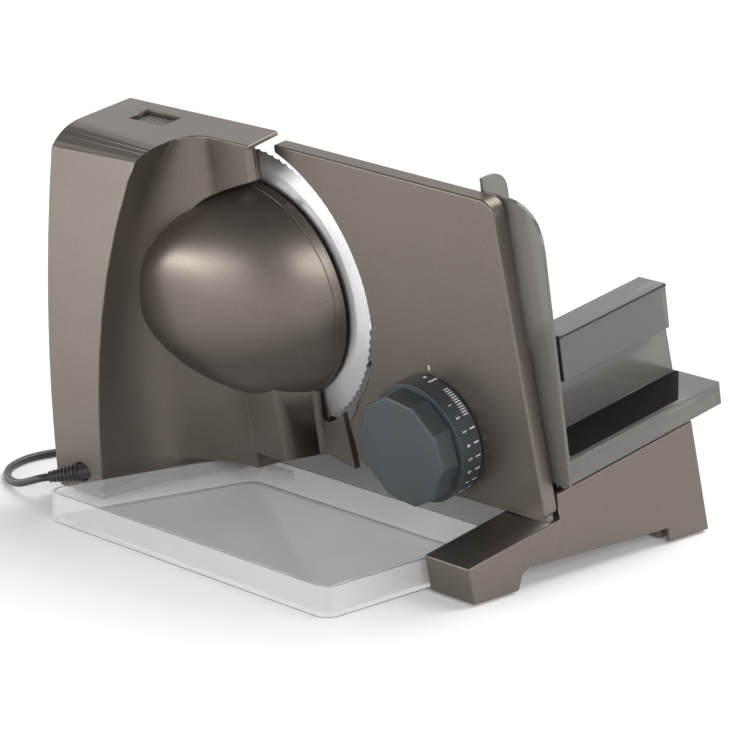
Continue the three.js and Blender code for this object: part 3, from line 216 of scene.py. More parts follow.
@dataclass(frozen=True)
class MetallicLacquer(Finish):
    """Sprayed metallic lacquer: fine flakes under a satin coat with a little orange peel."""

    dark: Colour
    light: Colour
    metallic: float = 0.85
    roughness: Span = (0.36, 0.41)
    coat: float = 0.12
    coat_roughness: float = 0.3
    flakes_per_metre: float = 2600
    flake_tones: float = 7.0
    flake_share: float = 0.7
    clouds_per_metre: float = 14
    peel_per_metre: float = 700
    peel_strength: float = 0.25
    peel: float = 0.012

    def sockets(self, sheet: NodeSheet) -> Inputs:
        """Draws flakes, a satin coat and orange peel.

        Args:
            sheet: Where the nodes go.

        Returns:
            The shader's inputs, by name.
        """
        inputs = {"Vector": sheet.place(), "Scale": self.flakes_per_metre}
        cells = sheet.add("ShaderNodeTexVoronoi", inputs).outputs["Color"]
        flake = sheet.math("FRACT", sheet.math("MULTIPLY", cells, self.flake_tones))
        cloud = sheet.noise(self.clouds_per_metre)
        peel = sheet.noise(self.peel_per_metre)
        share = sheet.blend(flake, cloud, self.flake_share)
        return {"Metallic": self.metallic,
                "Coat Weight": self.coat, "Coat Roughness": self.coat_roughness,
                "Base Color": sheet.tint(share, self.dark, self.light),
                "Roughness": sheet.spread(cloud, *self.roughness),
                "Normal": sheet.bump(peel, self.peel_strength, self.peel)}


@dataclass(frozen=True)
class GroundSteel(Finish):
    """Stainless steel with grinding marks in rings about an axis."""

    colour: Colour
    centre: Triple
    roughness: Span
    rings_per_metre: float = 2200
    ring_detail: float = 3.0
    ring_share: float = 0.7
    ring_strength: float = 0.15
    ring_depth: float = 0.02
    patches_per_metre: float = 60
    darkening: float = 0.92

    def sockets(self, sheet: NodeSheet) -> Inputs:
        """Draws ring marks from the distance to the leaning axis.

        Args:
            sheet: Where the nodes go.

        Returns:
            The shader's inputs, by name.
        """
        centre = lean_place(*self.centre).translation
        inputs = {"Vector": sheet.place(), "Location": centre, "Rotation": (LEAN, 0, 0)}
        turned = sheet.out("ShaderNodeMapping", inputs, vector_type="TEXTURE")
        parts = sheet.add("ShaderNodeSeparateXYZ", {"Vector": turned}).outputs
        across = [sheet.math("MULTIPLY", parts[axis], parts[axis]) for axis in "XZ"]
        radius = sheet.math("SQRT", sheet.math("ADD", *across))
        rings = {"W": radius, "Scale": self.rings_per_metre, "Detail": self.ring_detail}
        marks = sheet.out("ShaderNodeTexNoise", rings, noise_dimensions="1D")
        mixed = sheet.blend(marks, sheet.noise(self.patches_per_metre), self.ring_share)
        darker = shade(self.colour, self.darkening)
        return {"Metallic": 1.0, "Base Color": sheet.tint(sheet.spread(mixed, 0, 1), darker, self.colour),
                "Roughness": sheet.spread(mixed, *self.roughness),
                "Normal": sheet.bump(marks, self.ring_strength, self.ring_depth)}


@dataclass(frozen=True)
class MouldedPlastic(Finish):
    """Moulded plastic with a fine eroded grain and a slight change of tone."""

    colour: Colour
    roughness: Span = (0.42, 0.5)
    specular: float = 0.5
    sheen: float = 0.0
    grain_per_metre: float = 1500
    grain_detail: float = 3
    grain_strength: float = 0.4
    grain: float = 0.03
    clouds_per_metre: float = 25
    tones: Span = (0.86, 1.0)

    def sockets(self, sheet: NodeSheet) -> Inputs:
        """Draws the grain and the change of tone.

        Args:
            sheet: Where the nodes go.

        Returns:
            The shader's inputs, by name.
        """
        grain = sheet.noise(self.grain_per_metre, self.grain_detail)
        cloud = sheet.spread(sheet.noise(self.clouds_per_metre), 0, 1)
        ends = [shade(self.colour, tone) for tone in self.tones]
        return {"Specular IOR Level": self.specular, "Sheen Weight": self.sheen,
                "Base Color": sheet.tint(cloud, *ends),
                "Roughness": sheet.spread(grain, *self.roughness),
                "Normal": sheet.bump(grain, self.grain_strength, self.grain)}


@dataclass(frozen=True)
class SoftRubber(MouldedPlastic):
    """Soft rubber or flexible plastic with fine pores and a matt, slightly dusty skin."""

    roughness: Span = (0.5, 0.65)
    sheen: float = 0.1
    grain_per_metre: float = 2400
    grain_detail: float = 4
    grain_strength: float = 0.3
    grain: float = 0.02
    clouds_per_metre: float = 40
    tones: Span = (1.0, 1.15)


@dataclass(frozen=True)
class SeeThroughPlastic(Finish):
    """Transparent moulded plastic, clear or smoked."""

    colour: Colour
    roughness: Span = (0.03, 0.06)
    weight: float = 0.5
    clearness: float = 0.0
    refraction: float = 1.49
    flow_per_metre: float = 18
    ripple_strength: float = 0.2
    ripple: float = 0.02
    darkening: float = 0.97

    def sockets(self, sheet: NodeSheet) -> Inputs:
        """Draws a see-through colour with a faint flow ripple.

        Args:
            sheet: Where the nodes go.

        Returns:
            The shader's inputs, by name.
        """
        flow = sheet.noise(self.flow_per_metre)
        darker = shade(self.colour, self.darkening)
        return {"Alpha": 1 - self.clearness, "Transmission Weight": self.weight, "IOR": self.refraction,
                "Base Color": sheet.tint(sheet.spread(flow, 0, 1), darker, self.colour),
                "Roughness": sheet.spread(flow, *self.roughness),
                "Normal": sheet.bump(flow, self.ripple_strength, self.ripple)}


BODY_PAINT = MetallicLacquer("body_lacquer", Slot.BODY_PAINT, (0.13, 0.111, 0.096), (0.19, 0.163, 0.14))
# A lighter copy of the body's lacquer: the strip it covers paints the highlight that a crease of the
# guard catches.
HIGHLIGHT_LACQUER = MetallicLacquer("painted_highlight_lacquer", Slot.BODY_PAINT, (0.3, 0.28, 0.25), (0.4, 0.37, 0.34))
BLADE_STEEL = GroundSteel("ground_blade", Slot.BLADE_STEEL, (0.84, 0.85, 0.87), (-70.5, 75.4, 134),
                          (0.28, 0.38))
DRIVE_STEEL = GroundSteel("turned_steel", None, (0.62, 0.62, 0.63), (-70.5, 47, 134), (0.25, 0.4),
                          rings_per_metre=1200)
GEAR_PLASTIC = MouldedPlastic("gear_plastic", None, (0.78, 0.77, 0.72))
SLATE = MouldedPlastic("slate_moulding", Slot.SLATE, (0.05, 0.06, 0.067), (0.36, 0.44), specular=0.4)
BLACK = MouldedPlastic("black_moulding", Slot.BLACK, (0.012, 0.012, 0.013), (0.34, 0.44))
SWITCH_GREY = MouldedPlastic("switch_grey", Slot.BLACK, (0.15, 0.15, 0.145), (0.3, 0.38))
# Matt black: the bars that paint the shade inside the vent slots and the coin slot, and the black patch
# on the shelf.
MATT_BLACK = MouldedPlastic("matt_black", Slot.BLACK, (0.006, 0.006, 0.007), (0.5, 0.6), specular=0.1)
INK = MouldedPlastic("scale_ink", None, (0.85, 0.86, 0.86), (0.5, 0.6), grain_per_metre=900, grain=0.01)
SMOKED = SeeThroughPlastic("smoked_sheet", Slot.SMOKED, (0.224, 0.209, 0.194), (0.16, 0.22), weight=0.55)
CLEAR = SeeThroughPlastic("clear_sheet", Slot.CLEAR, (0.97, 0.98, 0.98), clearness=0.65)
# A grey see-through sheet on the tray's floor that paints the shade and dark reflection the floor gets
# under the machine.
TRAY_SHADE = SeeThroughPlastic("tray_shade_film", Slot.CLEAR, (0.69, 0.695, 0.695), (0.3, 0.4),
                            weight=0.6, clearness=0.5)
# Dark tubes along the tray's foot and rim, painted shade: the contact shadow at the foot and the dark
# edge line that light bent in the clear wall shows at the rim.
RIM_SHADE = SeeThroughPlastic("painted_rim_shade", Slot.CLEAR, (0.2, 0.21, 0.21), (0.1, 0.16),
                              weight=0.3, clearness=0.15)
PALE_RUBBER = SoftRubber("pale_rubber", Slot.FOOT_RUBBER, (0.62, 0.61, 0.57))
CORD_SKIN = SoftRubber("cord_skin", Slot.CORD, (0.014, 0.014, 0.015), (0.38, 0.5))


def put(name: str, data: bpy.types.ID) -> Piece:
    """Makes an object and links it to the scene.

    Args:
        name: The object's name.
        data: Its mesh, curve, light or camera.

    Returns:
        The new object, at the origin.
    """
    made = bpy.data.objects.new(name, data)
    bpy.context.scene.collection.objects.link(made)
    return made


def clad(mesh: Mesh, finish: Finish) -> None:
    """Gives a mesh its only material."""
    mesh.materials.clear()
    mesh.materials.append(finish.material())


def dress_nodes(finish: Finish, *nodes: str) -> None:
    """Gives solids that stay in the scene their finish."""
    for node in nodes:
        clad(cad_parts[node].data, finish)


def plain_mesh(piece: Piece) -> Mesh:
    """Gives an object's mesh as its modifiers leave it."""
    view = bpy.context.evaluated_depsgraph_get()
    return bpy.data.meshes.new_from_object(piece.evaluated_get(view))


def bake(piece: Piece) -> None:
    """Applies a piece's modifiers, so that only a plain mesh is left."""
    piece.data = plain_mesh(piece)
    piece.modifiers.clear()


def settle(piece: Piece, body: Body, finish: Finish, *nodes: str) -> Piece:
    """Says what a piece rides on and which solids it stands for, and hides those solids.

    Args:
        piece: The finished piece.
        body: The body that carries it.
        finish: What it is made of. Not used.
        *nodes: Solids that it stands for.

    Returns:
        The same piece.
    """
    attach(piece, body.value)
    if nodes:
        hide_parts(*nodes)
    LOG.info("%s rides on %s", piece.name, body.value)
    return piece


def add_trim(name: str, mesh: Mesh, finish: Finish, body: Body) -> Piece:
    """Makes and settles a piece that stands for no solid, of a mesh in place, and returns it."""
    clad(mesh, finish)
    return settle(put(name, mesh), body, finish)


class GrowTree(NodeSheet):
    """A Geometry Nodes tree with named inputs."""

    def __init__(self, name: str) -> None:
        """Starts a tree that gives one geometry.

        Args:
            name: The tree's name.
        """
        super().__init__(bpy.data.node_groups.new(name, "GeometryNodeTree"))
        self.tree.interface.new_socket("Geometry", in_out="OUTPUT", socket_type=GEOMETRY_INPUT)
        self.source = self.tree.nodes.new("NodeGroupInput")
        self.values: dict[str, Any] = {}

    def grow(self, kind: str, inputs: Inputs | None = None) -> Socket:
        """Adds one geometry node and returns its first output."""
        return self.out(f"GeometryNode{kind}", inputs)

    def value(self, name: str, value: Any = None) -> Socket:
        """Adds a named input and keeps what the modifier sets it to.

        Args:
            name: The input's name.
            value: A count, number or vector, or none for the mesh that the tree starts from.

        Returns:
            The socket that gives the value inside the tree.
        """
        kind = INPUT_KINDS.get(type(value), GEOMETRY_INPUT)
        item = self.tree.interface.new_socket(name, in_out="INPUT", socket_type=kind)
        if value is not None:
            self.values[item.identifier] = value
        return self.source.outputs[name]

    def mesh(self, geometry: Socket, finish: Finish, place: Matrix, start: Mesh | None = None) -> Mesh:
        """Ends the tree and runs it.

        Args:
            geometry: What the tree has made.
            finish: What its surface is made of.
            place: Takes the tree's millimetres to the shared frame.
            start: The mesh that the tree starts from, if it has such an input.

        Returns:
            A plain mesh in place.
        """
        whole = self.grow("RealizeInstances", {"Geometry": geometry})
        dressed = self.grow("SetMaterial", {"Geometry": whole, "Material": finish.material()})
        self.add("NodeGroupOutput", {"Geometry": dressed})
        holder = put(self.tree.name, start or bpy.data.meshes.new(self.tree.name))
        modifier = holder.modifiers.new("grow", "NODES")
        modifier.node_group = self.tree
        for identifier, value in self.values.items():
            modifier[identifier] = value
        made = plain_mesh(holder)
        bpy.data.objects.remove(holder)
        made.transform(place)
        return made


@dataclass(frozen=True)
class MarkRing:
    """Equal marks round an axis along Y, spread by Geometry Nodes."""

    name: str
    count: int
    radius: float
    first: float
    step: float
    size: Triple

    def mesh(self, finish: Finish, place: Matrix) -> Mesh:
        """Spreads the marks.

        Args:
            finish: What the marks are made of.
            place: Takes the ring's millimetres to the shared frame.

        Returns:
            One mesh of all marks.
        """
        tree = GrowTree(self.name)
        radius = tree.value("Radius", self.radius)
        first = tree.value("First Angle", math.radians(self.first))
        step = tree.value("Angle Step", math.radians(self.step))
        count = tree.value("Count", self.count)
        size = tree.value("Mark Size", self.size)
        angle = tree.math("MULTIPLY_ADD", tree.grow("InputIndex"), step, first)
        x, z = (tree.math("MULTIPLY", radius, tree.math(part, angle)) for part in ("COSINE", "SINE"))
        spot = tree.out("ShaderNodeCombineXYZ", {"X": x, "Z": z})
        euler = tree.out("ShaderNodeCombineXYZ", {"Y": tree.math("MULTIPLY", angle, -1.0)})
        turn = tree.out("FunctionNodeEulerToRotation", {"Euler": euler})
        line = tree.grow("MeshLine", {"Count": count})
        points = tree.grow("SetPosition", {"Geometry": line, "Position": spot})
        mark = tree.grow("MeshCube", {"Size": size})
        inputs = {"Points": points, "Instance": mark, "Rotation": turn}
        return tree.mesh(tree.grow("InstanceOnPoints", inputs), finish, place)


@dataclass(frozen=True)
class MarkRow:
    """Equal bars or points in a straight row, spread by Geometry Nodes."""

    name: str
    count: int
    step: Triple
    size: Triple
    pointed: bool = False
    sides: int = 12

    def mesh(self, finish: Finish, place: Matrix) -> Mesh:
        """Spreads the row.

        Args:
            finish: What the row is made of.
            place: Takes the row's millimetres to the shared frame.

        Returns:
            One mesh of the whole row.
        """
        tree = GrowTree(self.name)
        inputs = {"Count": tree.value("Count", self.count),
                  "Offset": tree.value("Step", self.step)}
        line = tree.grow("MeshLine", inputs)
        if self.pointed:
            inputs = {"Radius Bottom": tree.value("Foot Radius", self.size[0] / 2),
                      "Depth": tree.value("Height", self.size[2]),
                      "Radius Top": 0.0, "Vertices": self.sides}
            mark = tree.grow("MeshCone", inputs)
        else:
            mark = tree.grow("MeshCube", {"Size": tree.value("Size", self.size)})
        spread = tree.grow("InstanceOnPoints", {"Points": line, "Instance": mark})
        return tree.mesh(spread, finish, place)


@dataclass(frozen=True)
class EdgeLine:
    """Thin round line along an outline, swept by Geometry Nodes."""

    name: str
    radius: float
    sides: int = 6

    def mesh(self, points: Sequence[Vector], finish: Finish) -> Mesh:
        """Sweeps the line.

        Args:
            points: The closed outline, in millimetres in the shared frame.
            finish: What the line is made of.

        Returns:
            The line's mesh, in metres.
        """
        outline = bpy.data.meshes.new(self.name)
        count = len(points)
        outline.from_pydata(points, [(i, (i + 1) % count) for i in range(count)], [])
        tree = GrowTree(self.name)
        path = tree.grow("MeshToCurve", {"Mesh": tree.value("Start")})
        inputs = {"Radius": tree.value("Line Radius", self.radius),
                  "Resolution": tree.value("Line Sides", self.sides)}
        profile = tree.grow("CurvePrimitiveCircle", inputs)
        tube = tree.grow("CurveToMesh", {"Curve": path, "Profile Curve": profile})
        return tree.mesh(tube, finish, Matrix.Scale(MM, 4), outline)


@dataclass(frozen=True)
class RibRow:
    """Round ribs of shrinking size in a row along Z, set by Geometry Nodes."""

    name: str
    count: int
    pitch: float
    first_radius: float
    last_radius: float
    thick: float
    sides: int = 32
    section_sides: int = 8

    def mesh(self, finish: Finish, place: Matrix) -> Mesh:
        """Sets the ribs.

        Args:
            finish: What the ribs are made of.
            place: Takes the row's millimetres to the shared frame.

        Returns:
            One mesh of all ribs.
        """
        step = (self.last_radius - self.first_radius) / (self.count - 1)
        tree = GrowTree(self.name)
        offset = tree.out("ShaderNodeCombineXYZ", {"Z": tree.value("Pitch", self.pitch)})
        first = tree.value("First Radius", self.first_radius)
        shrink = tree.value("Shrink", step)
        inputs = {"Count": tree.value("Count", self.count), "Offset": offset}
        line = tree.grow("MeshLine", inputs)
        radius = tree.math("MULTIPLY_ADD", tree.grow("InputIndex"), shrink, first)
        size = tree.math("DIVIDE", radius, first)
        scale = tree.out("ShaderNodeCombineXYZ", {"X": size, "Y": size, "Z": 1.0})
        ring = tree.grow("CurvePrimitiveCircle", {"Resolution": self.sides, "Radius": first})
        section = tree.value("Rib Radius", self.thick / 2)
        inputs = {"Resolution": self.section_sides, "Radius": section}
        profile = tree.grow("CurvePrimitiveCircle", inputs)
        rib = tree.grow("CurveToMesh", {"Curve": ring, "Profile Curve": profile})
        inputs = {"Points": line, "Instance": rib, "Scale": scale}
        return tree.mesh(tree.grow("InstanceOnPoints", inputs), finish, place)


def joined(meshes: Sequence[Mesh]) -> Mesh:
    """Puts several meshes of one finish into one.

    Args:
        meshes: The meshes.

    Returns:
        A new mesh of them all.
    """
    form = bmesh.new()
    for mesh in meshes:
        form.from_mesh(mesh)
    whole = bpy.data.meshes.new(meshes[0].name)
    form.to_mesh(whole)
    form.free()
    return whole


def slab(corners: Sequence[Span], low: float, high: float, base: Matrix = LEAN_FRAME) -> Mesh:
    """Makes a flat plate.

    Args:
        corners: Its outline, as x and y in millimetres, anticlockwise from above.
        low: Height of its underside, in millimetres.
        high: Height of its top.
        base: The frame that it lies in, in millimetres.

    Returns:
        A closed mesh in metres.
    """
    count = len(corners)
    points = [base @ Vector((x, y, z)) * MM for z in (low, high) for x, y in corners]
    sides = [(i, (i + 1) % count, (i + 1) % count + count, i + count) for i in range(count)]
    mesh = bpy.data.meshes.new("slab")
    mesh.from_pydata(points, [], [tuple(reversed(range(count))), tuple(range(count, 2 * count)), *sides])
    return mesh


@dataclass(frozen=True)
class Rounded:
    """A moulded or turned piece: a solid of the frame with its edges rounded.

    Edges that bend more than sharp are rounded. Edges that bend less than crease look smooth.
    """

    node: str
    name: str
    body: Body
    finish: Finish
    edge: float
    steps: int = 2
    sharp: float = 30.0
    crease: float = 26.0

    def build(self) -> Piece:
        """Copies the solid, merges it, rounds its edges and puts the piece in the solid's place.

        Returns:
            The piece.
        """
        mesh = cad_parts[self.node].data.copy()
        form = bmesh.new()
        form.from_mesh(mesh)
        bmesh.ops.remove_doubles(form, verts=form.verts, dist=MERGE_DISTANCE)
        bmesh.ops.dissolve_limit(form, angle_limit=FLAT_ANGLE, verts=form.verts, edges=form.edges)
        weight = form.edges.layers.float.new("bevel_weight_edge")
        for edge in form.edges:
            bend = math.degrees(edge.calc_face_angle(0))
            # Inner corners stay as they are, because a bevel there leaves cracks.
            rounded = self.edge > 0 and edge.is_convex and self.sharp < bend < KNIFE_BEND
            edge[weight] = float(rounded)
            edge.smooth = rounded or bend < self.crease
        form.to_mesh(mesh)
        form.free()
        clad(mesh, self.finish)
        piece = put(self.name, mesh)
        mesh.shade_smooth()
        if self.edge > 0:
            bevel = piece.modifiers.new("edges", "BEVEL")
            bevel.width = self.edge * MM
            bevel.segments = self.steps
            bevel.limit_method = "WEIGHT"
            bevel.use_clamp_overlap = False
            bake(piece)
        piece.modifiers.new("normals", "WEIGHTED_NORMAL").keep_sharp = True
        bake(piece)
        return settle(piece, self.body, self.finish, self.node)


@dataclass
class Housing:
    """Tower, its cover, the base and the feet."""

    tower_edge: float = 1.0
    cover_edge: float = 0.5
    base_edge: float = 1.2
    edge_steps: int = 3
    crease: float = 14
    feet: Sequence[str] = ("front_right", "rear_right", "rear_left", "front_left")
    foot_edge: float = 0.6
    # A thin lighter strip at a crease of the guard's front paints the highlight that the crease catches.
    highlight_x: float = -72.7
    highlight_y: float = 46
    highlight_span: Span = (28, 66)
    highlight_width: float = 0.5
    highlight_proud: float = 0.15
    vents: int = 6
    vent_first: Triple = (-152, 74.4, 211)
    vent_pitch: float = 4.6
    vent_size: Triple = (42, 0.3, 1.8)

    def build(self) -> None:
        """Makes the mouldings and the feet, black bars that paint the shade in the vents, and a strip
        that paints the highlight along a crease of the guard.
        """
        mouldings = (("tower_housing", "tower_shell", self.tower_edge),
                     ("rear_cover", "tower_back", self.cover_edge),
                     ("base_frame", "base_moulding", self.base_edge))
        for node, name, edge in mouldings:
            Rounded(node, name, Body.FRAME, BODY_PAINT, edge, self.edge_steps,
                    crease=self.crease).build()
        for place in self.feet:
            Rounded(f"foot_{place}", f"foot_pad_{place}", Body.FRAME, PALE_RUBBER,
                    self.foot_edge).build()
        # Painted highlight: a lighter strip standing just proud of the guard, along its crease.
        left, right = self.highlight_x - self.highlight_width / 2, self.highlight_x + self.highlight_width / 2
        front, back = self.highlight_y - self.highlight_proud, self.highlight_y + self.highlight_proud
        highlight_strip = slab([(left, front), (right, front), (right, back), (left, back)], *self.highlight_span)
        add_trim("guard_painted_highlight", highlight_strip, HIGHLIGHT_LACQUER, Body.FRAME)
        # Flat black bars paint the shade inside the vent slots.
        row = MarkRow("vent_slot_shade", self.vents, (0, 0, self.vent_pitch), self.vent_size)
        vent_shade = row.mesh(MATT_BLACK, lean_place(*self.vent_first))
        add_trim("vent_slot_shade", vent_shade, MATT_BLACK, Body.FRAME)


@dataclass
class BladeDrive:
    """Blade with its lock, and the drive behind it."""

    blade_crease: float = 4
    lock_edge: float = 0.4
    coin_slot_shade_at: Triple = (-70.5, 77.2, 134)
    coin_slot_shade: Triple = (26, 0.2, 3)

    def build(self) -> None:
        """Makes the blade, its lock with a bar that paints the shade in its coin slot, and dresses the
        drive.
        """
        Rounded("blade", "blade_disc", Body.BLADE, BLADE_STEEL, edge=0,
                crease=self.blade_crease).build()
        Rounded("blade_lock", "lock_cap", Body.BLADE, SLATE, self.lock_edge).build()
        # A flat black bar paints the shade inside the coin slot of the blade's lock.
        row = MarkRow("coin_slot_shade", 1, (0, 0, 0), self.coin_slot_shade)
        slot = row.mesh(MATT_BLACK, lean_place(*self.coin_slot_shade_at))
        add_trim("coin_slot_shade", slot, MATT_BLACK, Body.BLADE)
        dress_nodes(GEAR_PLASTIC, "blade_wheel", "worm_bearing")
        dress_nodes(DRIVE_STEEL, "blade_axle", "worm", "motor", "cam_pin")


@dataclass
class StopPlate:
    """Leaning plate on its guide rods."""

    edge: float = 1.2
    edge_steps: int = 4
    sharp: float = 60

    def build(self) -> None:
        """Makes the plate and dresses its guides."""
        Rounded("stop_plate", "plate_moulding", Body.PLATE, BODY_PAINT, self.edge,
                self.edge_steps, self.sharp).build()
        dress_nodes(DRIVE_STEEL, "guide_rod_left", "guide_rod_right")
        dress_nodes(BLACK, "guide_bush_left", "guide_bush_right")


@dataclass
class ThicknessDial:
    """Faceted knob with a numbered ring."""

    centre: Span = (83.7, 68.6)
    grip_edge: float = 0.7
    grip_sharp: float = 20
    ring_edge: float = 0.5
    ring_radius: float = 39.1
    print_thick: float = 0.1
    tick_at: float = 61
    zero_angle: float = 90
    zero_size: Span = (2.2, 2.2)
    stop_angle: float = 80
    stop_size: Span = (7, 1.3)
    fine_ticks: int = 12
    fine_first: float = 63.5
    fine_step: float = -2.68
    fine_size: Span = (4, 0.6)
    tick_size: Span = (4, 0.8)
    unticked: int = 2
    number_at: float = 54.2
    number_size: float = 4.2
    first_number: float = 47.4
    number_step: float = -13.4
    numbers: int = 17
    pointer: Span = (84, 112.4)
    pointer_size: Span = (0.8, 3.2)
    plate_front: float = 65

    def build(self) -> None:
        """Makes the knob, the ring and its scale."""
        Rounded("dial_grip", "knob_grip", Body.DIAL, SLATE, self.grip_edge,
                sharp=self.grip_sharp).build()
        Rounded("dial_ring", "knob_ring", Body.DIAL, SLATE, self.ring_edge).build()
        dress_nodes(DRIVE_STEEL, "dial_axle", "dial_clip")
        self.scale()

    def scale(self) -> None:
        """Prints the ring's marks and numbers, and the pointer on the plate."""
        thick, radius = self.print_thick, self.ring_radius
        first_tick = self.first_number + self.unticked * self.number_step
        rings = (MarkRing("zero_dot", 1, radius, self.zero_angle, 0, (thick, *self.zero_size)),
                 MarkRing("stop_bar", 1, radius, self.stop_angle, 0, (thick, *self.stop_size)),
                 MarkRing("fine_ticks", self.fine_ticks, radius, self.fine_first, self.fine_step,
                          (thick, *self.fine_size)),
                 MarkRing("number_ticks", self.numbers - self.unticked, radius, first_tick,
                          self.number_step, (thick, *self.tick_size)))
        place = lean_place(self.centre[0], self.tick_at, self.centre[1])
        add_trim("dial_marks", joined([ring.mesh(INK, place) for ring in rings]), INK, Body.DIAL)
        numbers = [self.number(i) for i in range(self.numbers)]
        add_trim("dial_numbers", joined(numbers), INK, Body.DIAL)
        x, z = self.pointer
        wide, high = self.pointer_size
        row = MarkRow("pointer_mark", 1, (0, 0, 0), (wide, 2 * thick, high))
        add_trim("dial_pointer", row.mesh(INK, lean_place(x, self.plate_front, z)), INK, Body.PLATE)

    def number(self, place: int) -> Mesh:
        """Prints one number round the ring.

        Args:
            place: Counts from 0 along the scale.

        Returns:
            The number's mesh, bent round the ring.
        """
        text = bpy.data.curves.new("number", "FONT")
        text.body = str(place + 1)
        text.size = self.number_size
        text.align_x = "CENTER"
        text.align_y = "CENTER"
        text.extrude = self.print_thick / 2
        holder = put("number", text)
        mesh = plain_mesh(holder)
        bpy.data.objects.remove(holder)
        middle = math.radians(self.first_number + place * self.number_step)
        for corner in mesh.vertices:
            along, up, out = corner.co
            angle = middle - along / self.ring_radius
            radius = self.ring_radius + out
            x = self.centre[0] + radius * math.cos(angle)
            z = self.centre[1] + radius * math.sin(angle)
            corner.co = lean_place(x, self.number_at + up, z).translation
        return mesh


@dataclass
class PowerSwitch:
    """Switch in the tower's roof."""

    bed_edge: float = 0.2
    key_edge: float = 0.5
    ribs: int = 5
    first_rib: Triple = (-141, 55.5, 240)
    rib_pitch: float = 4
    rib_size: Triple = (1.2, 12, 0.8)

    def build(self) -> None:
        """Makes the switch's core, its button and the button's ribs."""
        Rounded("switch_core", "switch_bed", Body.FRAME, BLACK, self.bed_edge).build()
        Rounded("switch_button", "switch_key", Body.SWITCH, SWITCH_GREY, self.key_edge).build()
        row = MarkRow("key_ribs", self.ribs, (self.rib_pitch, 0, 0), self.rib_size)
        ribs = row.mesh(SWITCH_GREY, lean_place(*self.first_rib))
        add_trim("key_ribs", ribs, SWITCH_GREY, Body.SWITCH)


@dataclass
class FoodCarriage:
    """Smoked carriage with its pusher, on the black rail."""

    carriage_edge: float = 0.2
    runner_edge: float = 0.3
    rail_edge: float = 0.4
    pusher_edge: float = 0.35
    shelf_top: float = 62.5
    black_patch_thick: float = 0.6
    black_patch: Sequence[Span] = ((140, 104), (171, 93), (171, 189), (143, 221), (140, 221))
    wall_right: float = 137
    pusher_right: float = 139.7
    pusher_span: Span = (124, 220.5)
    pusher_top: float = 122.7
    skirt: float = 30
    gap: float = 0.4
    strip_width: float = 0.7
    line_drop: Span = (1.6, 0.6)
    teeth: int = 9
    tooth_rows: Sequence[float] = (86, 96, 106)
    first_tooth: Span = (117.6, 132)
    tooth_pitch: float = 10
    tooth_size: Triple = (2.6, 2.6, 2.4)

    def build(self) -> None:
        """Makes the carriage, its runner and the black patch on its shelf, the rail, and the pusher with
        its black strips and teeth.
        """
        Rounded("carriage", "carriage_moulding", Body.CARRIAGE, SMOKED, self.carriage_edge).build()
        Rounded("carriage_runner", "runner_shoe", Body.CARRIAGE, BLACK, self.runner_edge).build()
        Rounded("slide_rail", "rail_track", Body.FRAME, BLACK, self.rail_edge).build()
        Rounded("pusher", "pusher_moulding", Body.PUSHER, SMOKED, self.pusher_edge).build()
        # A flat matt black patch on the shelf, where the shelf shows black.
        black_patch = slab(self.black_patch, self.shelf_top, self.shelf_top + self.black_patch_thick)
        add_trim("shelf_black_patch", black_patch, MATT_BLACK, Body.CARRIAGE)
        self.dark_strips()
        turn = Matrix.Rotation(math.radians(-90), 4, "Y")
        row = MarkRow("teeth", self.teeth, (0, self.tooth_pitch, 0), self.tooth_size, pointed=True)
        places = [lean_place(*self.first_tooth, height) @ turn for height in self.tooth_rows]
        teeth = joined([row.mesh(SMOKED, place) for place in places])
        add_trim("pusher_teeth", teeth, SMOKED, Body.PUSHER)

    def dark_strips(self) -> None:
        """Makes black strips on the pusher's skirt: the one at its end paints the shade in the gap by the
        carriage's wall, the other runs along its top.
        """
        start, end = self.pusher_span
        left, right = self.wall_right + self.gap, self.pusher_right
        # Painted shade: this strip fills the gap between the carriage's wall and the pusher.
        strip = [(left, start - self.strip_width), (right, start - self.strip_width), (right, start), (left, start)]
        line = [(right, start), (right + self.strip_width, start), (right + self.strip_width, end), (right, end)]
        top = self.pusher_top
        low, high = (top - drop for drop in self.line_drop)
        dark_strips = joined([slab(strip, top - self.skirt, top), slab(line, low, high)])
        add_trim("pusher_dark_strips", dark_strips, BLACK, Body.PUSHER)


